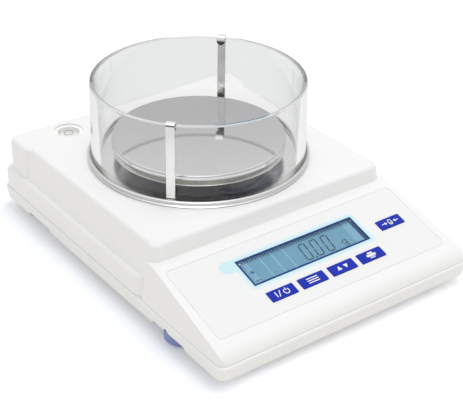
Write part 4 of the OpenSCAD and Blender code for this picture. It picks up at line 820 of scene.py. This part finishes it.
def sweepStrip(name, path, width, sheet, angle, material):
    # a flat strip along a path of (radius, height), round its long edges; its tail is a half round
    half, t, soft, tail = width / 2, sheet / 2, 0.16, 8
    turns = [math.radians(90 * k / tail) for k in range(tail + 1)]
    a, b = Vector(path[-2]), Vector(path[-1])
    d = (b - a).normalized()
    path = path[:-1] + [tuple(b - d * half * (1 - math.sin(turn))) for turn in turns]
    shrink = [1.0] * (len(path) - tail) + [max(math.cos(turn), 0.12) for turn in turns[1:]]
    section = [(-half + soft, -t), (half - soft, -t), (half, -t + soft), (half, t - soft),
               (half - soft, t), (-half + soft, t), (-half, t - soft), (-half, -t + soft)]
    spin = Matrix.Rotation(math.radians(angle), 4, "Z")
    bm = bmesh.new()
    loops = []
    for k, p in enumerate(path):
        a, b = Vector(path[max(k - 1, 0)]), Vector(path[min(k + 1, len(path) - 1)])
        d = (b - a).normalized()
        n = Vector((-d.y, d.x))
        loop = []
        for along, off in section:
            q = Vector(p) + n * off
            v = spin @ Vector((q.x, along * shrink[k], 0))
            loop.append(bm.verts.new((v.x * mm + panCentre[0], v.y * mm + panCentre[1], q.y * mm)))
        loops.append(loop)
    for a, b in zip(loops, loops[1:]):
        for k in range(8):
            bm.faces.new((a[k], a[(k + 1) % 8], b[(k + 1) % 8], b[k]))
    bm.faces.new(loops[0])
    bm.faces.new(loops[-1])
    mesh = meshFrom(name, bm)
    soften(mesh, 35)
    return asObject(name, mesh, material)


def makeClip(name, node, c, g):
    half, bend, inside = c["sheet"] / 2, c["bend"], g["outer"] - g["wall"]
    legR = g["outer"] + c["gap"] + half
    top = g["top"] + c["lap"] + half
    tongueR = inside - (c["width"] / 2) ** 2 / (2 * inside) - c["gap"] - half
    path = [(legR, g["bottom"] + c["foot"]), (legR, c["legStart"])]
    creases = (c["lowCrease"], g["top"] - c["topCrease"])  # pressed across the leg
    pressed = legR - c["crease"]
    for z in creases:
        path += [(legR, z - 0.4), (pressed, z - 0.25), (pressed, z + 0.25), (legR, z + 0.4)]
    for centre, start in ((legR - bend, 0), (tongueR + bend, 90)):
        for k in range(6):
            a = math.radians(start + 90 * k / 5)
            path.append((centre + bend * math.cos(a), top - bend + bend * math.sin(a)))
    path += [(tongueR, top - c["tongue"] * 0.5), (tongueR, top + half - c["tongue"])]
    strip = sweepStrip(name, path, c["width"], c["sheet"], c[name], "clipSteel")

    # painted shade: the creases and the lower end of the tongue take a dark steel that stands in for dark
    # reflections and shade there
    def shaded(face):
        if fromPanAxis(face.center) < g["outer"] - g["wall"] / 2:  # the lower part of the tongue
            return face.center.z < (top - c["tongue"] * 0.42) * mm
        return any(abs(face.center.z / mm - z) < 0.39 for z in creases)

    paintFaces(strip, "clipShade", shaded)
    finishPiece(strip, "shield", "clip_steel", node)


makePan(panSet)
makeTray(traySet)
makeGlass(shieldSet)
makeClip("clipFront", "clip_front", clipSet, shieldSet)
makeClip("clipRear", "clip_rear", clipSet, shieldSet)
print("stage: pan, tray, glass and clips")

# display panel
displaySet = {"x0": -45.3, "x1": 46.1, "s0": 18.3, "s1": 39.9, "line": 1.25, "band": 42.6, "strip": 21.1,
              "halo": (0.60, 0.82, 0.885), "haloOut": 2.4, "haloCorner": 3.2, "haloSoft": 2.6,
              "lobe": (-49.6, 20.6), "lobeSize": (7.4, 4.9), "film": (0.868, 0.868, 0.866),
              "faceX": (-42.1, 44.1), "faceS": (21.0, 38.0), "face": -0.7, "back": -2.7, "lap": 0.1,
              "ticks": 22.3, "tickPitch": 2.0, "tickDepth": 0.9, "places": (-36.0, -6.0), "placePitch": 8.7,
              "placeShift": 3.0, "ends": (-38.5, 36.5), "screen": (0.115, 0.285, 0.41),
              "pale": (0.27, 0.48, 0.61), "shade": (0.02, 0.06, 0.13)}


def filmMaterial(c):
    m, t, s = newMaterial("printedFilm")
    out = c["haloOut"]
    halo = useGroup(t, "roundMask", Centre_X=(c["x0"] + c["x1"]) / 2, Centre_Y=(c["s0"] + c["s1"]) / 2,
                    Half_X=(c["x1"] - c["x0"]) / 2 + out, Half_Y=(c["s1"] - c["s0"]) / 2 + out,
                    Corner=c["haloCorner"], Soft=c["haloSoft"])["Mask"]
    x, y = c["lobe"]
    w, h = c["lobeSize"]
    lobe = useGroup(t, "roundMask", Centre_X=x, Centre_Y=y, Half_X=w, Half_Y=h, Corner=h, Soft=0.7)["Mask"]
    base = useGroup(t, "toneDrift", Colour=c["film"], Amount=0.04, Scale=20.0)["Colour"]
    ringed = mixColour(t, halo, base, c["halo"])
    t.links.new(mixColour(t, lobe, ringed, c["halo"]), s.inputs["Base Color"])
    grained(t, s, useGroup(t, "mouldGrain", Scale=5200.0), 0.30, 0.38, 0.12, 0.00004)
    return m


def screenMaterial(name, c, border, glow):
    # the display's field; the border under the window adds a band of painted shade at its right end, a
    # printed strip and its row of ticks
    m, t, s = newMaterial(name)
    x, y = panelAxes(t)[:2]
    # unlit digit places show as faint paler strips
    turn = 2 * math.pi / c["placePitch"]
    wave = maths(t, "COSINE", maths(t, "MULTIPLY", maths(t, "ADD", x, c["placeShift"]), turn))
    first, last = c["places"]
    strip = maths(t, "MULTIPLY", maths(t, "GREATER_THAN", wave, 0.95), maths(t, "LESS_THAN", x, last))
    strip = maths(t, "MULTIPLY", strip, maths(t, "GREATER_THAN", x, first))
    field = useGroup(t, "toneDrift", Colour=c["screen"], Amount=0.2, Scale=18.0)["Colour"]
    field = tinted(t, field, strip, 0.55, c["pale"])
    left, right = c["ends"]
    ends = maths(t, "MAXIMUM", maths(t, "LESS_THAN", x, left), maths(t, "GREATER_THAN", x, right))
    field = tinted(t, field, ends, 0.3, c["pale"])
    if border:
        field = tinted(t, field, maths(t, "LESS_THAN", y, c["strip"]), 0.3, c["shade"])
        tick = maths(t, "LESS_THAN", maths(t, "FRACT", maths(t, "DIVIDE", x, c["tickPitch"])), 0.5)
        tick = maths(t, "MULTIPLY", tick, maths(t, "LESS_THAN", y, c["strip"] + c["tickDepth"]))
        field = tinted(t, field, tick, 0.9, c["shade"])
        # painted shade: beyond band the border is dark, standing in for the shadow of the recess wall at the
        # display's right end
        field = mixColour(t, maths(t, "GREATER_THAN", x, c["band"]), field, c["shade"])
    t.links.new(field, s.inputs["Base Color"])
    t.links.new(field, s.inputs["Emission Color"])
    s.inputs["Emission Strength"].default_value = glow
    s.inputs["Specular IOR Level"].default_value = 0.2
    grained(t, s, useGroup(t, "mouldGrain", Scale=6000.0), 0.40, 0.48, 0.06, 0.00003)
    return m


mats["printedFilm"] = filmMaterial(displaySet)
# both fields glow, partly as the display's backlight and partly as painted light that lifts the shade in the
# recessed display
mats["lcdGlass"] = screenMaterial("lcdGlass", displaySet, False, 0.22)
mats["windowBorder"] = screenMaterial("windowBorder", displaySet, True, 0.1)
filmSet = {"half": 88.0, "s0": 7.0, "s1": 64.5, "corner": 3.0, "thick": 0.5, "gap": 0.2, "edge": 0.08}
keyPlaces = {"power": (-33.4, 51.5), "menu": (-10.1, 51.5), "select": (13.2, 51.5), "print": (36.5, 51.5),
             "tare": (67.4, 34.0)}
keyHalf = (9.6, 3.9)


def makeFilm(c, d):
    outX, outS = keyHalf[0] + c["gap"], keyHalf[1] + c["gap"]
    half, corner = c["half"], c["corner"]
    holes = [(x - outX, x + outX, s - outS, s + outS) for x, s in keyPlaces.values()]
    holes.append((d["x0"], d["x1"], d["s0"], d["s1"]))
    xs = [-half, -half + corner, half - corner, half] + [v for h in holes for v in h[:2]]
    ss = [c["s0"], c["s0"] + corner, c["s1"] - corner, c["s1"]] + [v for h in holes for v in h[2:]]

    def cutOut(x, s):
        return any(a < x < b and e < s < f for a, b, e, f in holes)

    film = panelSheet("overlayFilm", xs, ss, cutOut, -c["thick"], 0, "printedFilm", corner)
    edgeRound(film, c["edge"], 40, 2)
    panelMap(film)
    finishPiece(film, "case", "film_white", "keypad_film")


def uncut(x, s):
    return False


def makeDisplay(d, low):
    # the display's back glass, with its smaller front glass up against the window
    back = cadCopy("lcdBack", "lcd_cell", "lcdGlass", 0)
    front = panelSheet("lcdFront", d["faceX"], d["faceS"], uncut, d["back"], d["face"], "lcdGlass")
    screen = join("lcdScreen", back, front)
    edgeRound(screen, 0.1, 40, 2)
    panelMap(screen)
    finishPiece(screen, "case", "lcd_glass", "lcd_cell")
    inX, inS = (d["x0"] + d["line"], d["x1"] - d["line"]), (d["s0"] + d["line"], d["s1"] - d["line"])
    border = panelSheet("displayFrame", [d["x0"], *inX, d["x1"]], [d["s0"], *inS, d["s1"]],
                        lambda x, s: inX[0] < x < inX[1] and inS[0] < s < inS[1], low, 0, "navyPrint")
    edgeRound(border, 0.08, 40, 2)
    finishPiece(border, "case", "print_navy", "display_frame")
    openX, openS = (d["faceX"][0] + d["lap"], d["band"]), (d["ticks"], d["faceS"][1] - d["lap"])
    window = panelSheet("displayWindow", [inX[0], *openX, inX[1]], [inS[0], *openS, inS[1]], uncut,
                        low, 0, "windowClear")
    panelMap(window)
    paintFaces(window, "windowBorder", lambda face: face.normal.z < -0.5 and not (
        openX[0] < face.center.x / mm < openX[1] and openS[0] < panelSpot(face.center)[1] < openS[1]))
    finishPiece(window, "case", "window_clear", "display_window")


makeFilm(filmSet, displaySet)
makeDisplay(displaySet, -filmSet["thick"])

# printed marks, drawn as outlines in millimetres
inkSet = {"level": -2.65, "thick": 1.98, "digitX": -2.0, "digitS": 36.7, "pitch": 8.7, "wide": 5.5,
          "high": 13.8, "line": 0.95, "slant": 6}


def bar(x0, y0, x1, y1):
    return [(x0, y0), (x1, y0), (x1, y1), (x0, y1)]


def arc(cx, cy, r, line, a0, a1, stretch=1.0, steps=28):
    outer, inner = [], []
    for k in range(steps + 1):
        a = math.radians(a0 + (a1 - a0) * k / steps)
        outer.append((cx + r * math.cos(a), cy + r * stretch * math.sin(a)))
        inner.append((cx + (r - line) * math.cos(a), cy + (r * stretch - line) * math.sin(a)))
    return outer + inner[::-1]


def ring(cx, cy, r, line, stretch=1.0):
    # two halves, because a closed ring can't be one filled outline
    return [arc(cx, cy, r, line, a, a + 180, stretch, 16) for a in (0, 180)]


def stroke(x0, y0, x1, y1, line):
    d = Vector((x1 - x0, y1 - y0)).normalized() * line / 2
    return [(x0 + d.y, y0 - d.x), (x1 + d.y, y1 - d.x), (x1 - d.y, y1 + d.x), (x0 - d.y, y0 + d.x)]


def flatMarks(name, shapes, x, s, low, high, material):
    bm = bmesh.new()
    for shape in shapes:
        foot = [bm.verts.new(panelPoint(x + u, s - v, low)) for u, v in shape]
        head = [bm.verts.new(panelPoint(x + u, s - v, high)) for u, v in shape]
        caps = [bm.faces.new(head), bm.faces.new(foot[::-1])]
        for k in range(len(shape)):
            n = (k + 1) % len(shape)
            bm.faces.new((foot[k], foot[n], head[n], head[k]))
        bmesh.ops.triangulate(bm, faces=caps)
    return asObject(name, meshFrom(name, bm), material)


def digitStrokes(c, x):
    # six strokes of a nought, with pointed ends, leaning a little
    w, h, l = c["wide"], c["high"], c["line"]
    half, gap = l / 2, 0.15
    shapes = []

    def seg(px, py, length, upright):
        pts = [(gap, 0), (gap + half, half), (length - gap - half, half), (length - gap, 0),
               (length - gap - half, -half), (gap + half, -half)]
        shapes.append([(px + (-v if upright else u), py + (u if upright else v)) for u, v in pts])

    side, across = (h - l) / 2, w - l
    for y in (0, 2 * side):
        seg(0, y, across, False)
    for px in (0, across):
        for y in (0, side):
            seg(px, y, side, True)
    lean = math.tan(math.radians(c["slant"]))
    return [[(x + u + v * lean, v) for u, v in shape] for shape in shapes]


def makeInk(c, d):
    shapes = [q for k in range(3) for q in digitStrokes(c, k * c["pitch"])]
    shapes += [arc(6.9, -0.1, 0.65, 0.64, 0, 360, steps=16)]
    g = 3.6 * c["pitch"]
    shapes += ring(g, 2.6, 1.9, 0.6, 0.95)
    shapes += [bar(g + 1.3, -0.6, g + 1.9, 4.5), bar(g - 1.2, -1.2, g + 1.9, -0.6)]
    left = d["x0"] - c["digitX"] + 4
    shapes += [bar(left, 6.6, left + 3.0, 7.3), bar(left + 1.15, 5.4, left + 1.85, 8.5)]
    shapes += ring(left + 0.4, 0.1, 0.7, 0.35) + [bar(left + 1.6, -0.1, left + 3.2, 0.4)]
    low = c["level"]
    ink = flatMarks("lcdInk", shapes, c["digitX"], c["digitS"], low, low + c["thick"], "inkGrey")
    finishPiece(ink, "case", "lcd_ink", "lcd_segments")


makeInk(inkSet, displaySet)
print("stage: display panel")

# keys and their marks
keySet = {"edge": 0.22, "raise": 0.5, "sink": 0.02, "ink": 0.03}
keyMarks = {
    "power": [bar(-5.0, -2.1, -4.3, 2.1), stroke(-3.1, -2.3, -1.1, 2.3, 0.62),
              arc(2.9, -0.1, 2.2, 0.62, 125, 415), bar(2.6, 0.5, 3.2, 2.6)],
    "menu": [bar(-4.2, 1.3, 4.2, 2.0), bar(-4.2, -0.35, 4.2, 0.35), bar(-4.2, -2.0, 4.2, -1.3)],
    "select": [[(-4.4, -1.4), (-1.0, -1.4), (-2.7, 1.8)], [(1.0, 1.4), (2.7, -1.8), (4.4, 1.4)]],
    "print": [bar(-3.6, -0.9, 3.6, 0.9), bar(-2.0, 1.2, 2.0, 2.4), bar(-2.0, -1.5, 2.0, -1.2),
              bar(-2.0, -2.4, 2.0, -1.8)],
    "tare": ring(0, 0, 1.6, 0.6, 1.5) + [bar(-6.8, -0.3, -4.2, 0.3), [(-4.4, -1.3), (-2.6, 0), (-4.4, 1.3)],
                                         bar(4.2, -0.3, 6.8, 0.3), [(4.4, 1.3), (2.6, 0), (4.4, -1.3)]],
}


def makeKey(name, x, s, c):
    label, body, high = name.capitalize(), name + "_key", c["raise"]
    dressNode("cap" + label, "key_" + name, "keyBlue", "key_blue", c["edge"], body=body, segments=3)
    marks = flatMarks("mark" + label, keyMarks[name], x, s, high - c["sink"], high + c["ink"], "whitePrint")
    finishPiece(marks, body, "film_white")


for name, (x, s) in keyPlaces.items():
    makeKey(name, x, s, keySet)
print("stage: keys")

# level, feet and fasteners
levelSet = {"ring": 3.3, "line": 0.35, "lid": 51.82, "ink": 0.04}


def makeRing(c):
    r, line, z = c["ring"], c["line"], c["lid"]
    outline = [(r - line, z), (r, z), (r, z + c["ink"]), (r - line, z + c["ink"])]
    finishPiece(lathe("levelRing", outline, "switchBlack", levelCentre, 64), "case", "switch_black")


dressNode("levelCup", "level_cup", "levelWhite", "level_white", 0.25)
dressNode("levelVial", "level_vial", "levelClear", "level_clear", 0.3)
dressNode("levelLiquid", "level_liquid", "levelFluid", "level_fluid", 0)
makeRing(levelSet)

wheelSet = {"core": 10.5, "bottom": 1.2, "thick": 7.8, "ribs": 40, "ribRadius": 0.55, "bore": 2.55,
            "recess": 6.9, "recessTop": 3.8, "x": 85, "y": -73.5}


def makeWheel(side, sign, c):
    centre = (sign * c["x"] * mm, c["y"] * mm)
    low, high, r = c["bottom"], c["bottom"] + c["thick"], c["core"]
    bore, recess, roof = c["bore"], c["recess"], c["recessTop"]
    outline = [(bore, high, 0.3), (r - 1.6, high, 0.4), (r - 0.9, high - 0.35, 0.4), (r, high - 0.9, 0.5),
               (r, low + 1.2, 0.5), (r - 1.2, low, 0.5), (recess, low, 0.3), (recess, roof, 0.3),
               (bore, roof, 0.2)]
    core = lathe("wheelCore", outline, "wheelBlue", centre, 96)
    rim = runTree("wheelRim", ribs, [(0, 0, 0)], Rib_Count=c["ribs"], Ring_Radius=(r - 0.05) * mm,
                  Rib_Radius=c["ribRadius"] * mm, Rib_Height=(c["thick"] - 2.6) * mm,
                  Centre=(*centre, (low + high + 0.2) / 2 * mm), Finish=mats["wheelBlue"])
    soften(rim.data, 60)
    wheel = join("thumbwheel" + side.capitalize(), core, rim)
    finishPiece(wheel, "wheel_" + side, "wheel_blue", "thumbwheel_" + side)


for side, sign in (("left", -1), ("right", 1)):
    makeWheel(side, sign, wheelSet)
    label, body = side.capitalize(), "foot_" + side
    dressNode("footStem" + label, "foot_stem_" + side, "stemSteel", "stem_steel", 0.2, body=body)
    dressNode("footPad" + label, "foot_pad_" + side, "footRubber", "foot_rubber", 0.4, 30, body)
dressNode("rearFeet", "rear_feet", "footRubber", "foot_rubber", 0.5, 30)

screwSet = {"r": 1.5, "head": 2.8, "headHigh": 2.0, "long": 11, "pitch": 0.8, "z": 10.5,
            "at": [(-70, -117.3), (70, -117.3), (-87.3, 0), (87.3, 0), (-87.3, 114.3), (87.3, 114.3)]}


def makeScrews(name, node, c):
    r, head, high, tip, pitch = c["r"], c["head"], c["headHigh"], c["long"], c["pitch"]
    outline = [(0, tip, 0), (r * 0.3, tip, 0), (r, tip - 1.6, 0.2)]
    for k in range(int((tip - 2) / pitch)):  # the thread as rings
        z = tip - 1.8 - k * pitch
        outline += [(r, z, 0.05), (r * 0.78, z - pitch / 2, 0.05)]
    outline += [(r, 0, 0.05), (head, 0, 0.3), (head, -high * 0.55, 0.7), (head * 0.72, -high, 0.5),
                (head * 0.5, -high, 0.1), (head * 0.2, -high * 0.35, 0.1), (0, -high * 0.3, 0)]
    one = lathe(name + "One", outline, "screwSteel", (0, 0), 32, closed=False)
    spots = [(x * mm, y * mm, c["z"] * mm) for x, y in c["at"]]
    done = runTree(name, screws, spots, Part=one, Turn_Range=1.5, Seed=7, Finish=mats["screwSteel"])
    bpy.data.objects.remove(one)
    finishPiece(done, "case", "screw_steel", node)


makeScrews("caseScrews", "case_screws", screwSet)
print("stage: level, feet and screws")

# CAD nodes that keep their own shape
nodeFinish = {
    "switchBlack": "key_switches", "holderWhite": "lcd_holder", "lightPanel": "backlight",
    "boardGreen": "display_board main_board", "ribbonGrey": "ribbon_cable", "wireColours": "cell_wires",
    "screwSteel": "display_board_screws main_board_screws port_plate_screws base_plate_screws "
                  "overload_stop overload_nut",
    "partBlack": "board_components", "tinPlate": "shield_can", "jackBlack": "power_jack",
    "portMetal": "data_port", "portGrey": "port_plate", "gaugeWhite": "strain_gauges",
    "plateSteel": "base_plate cell_spacer_lower cell_spacer_upper", "cellAluminium": "load_cell pan_hub",
    "carrierSteel": "carrier_bracket carrier_post",
    "boltBlack": "cell_screws_lower cell_screws_upper carrier_post_screw", "softBlack": "hub_ring",
    "insertBrass": "foot_inserts",
}
for finish, kept in nodeFinish.items():
    for node in kept.split():
        for place in nodes[node].material_slots:
            place.material = mats[finish]
print("stage: inner parts")
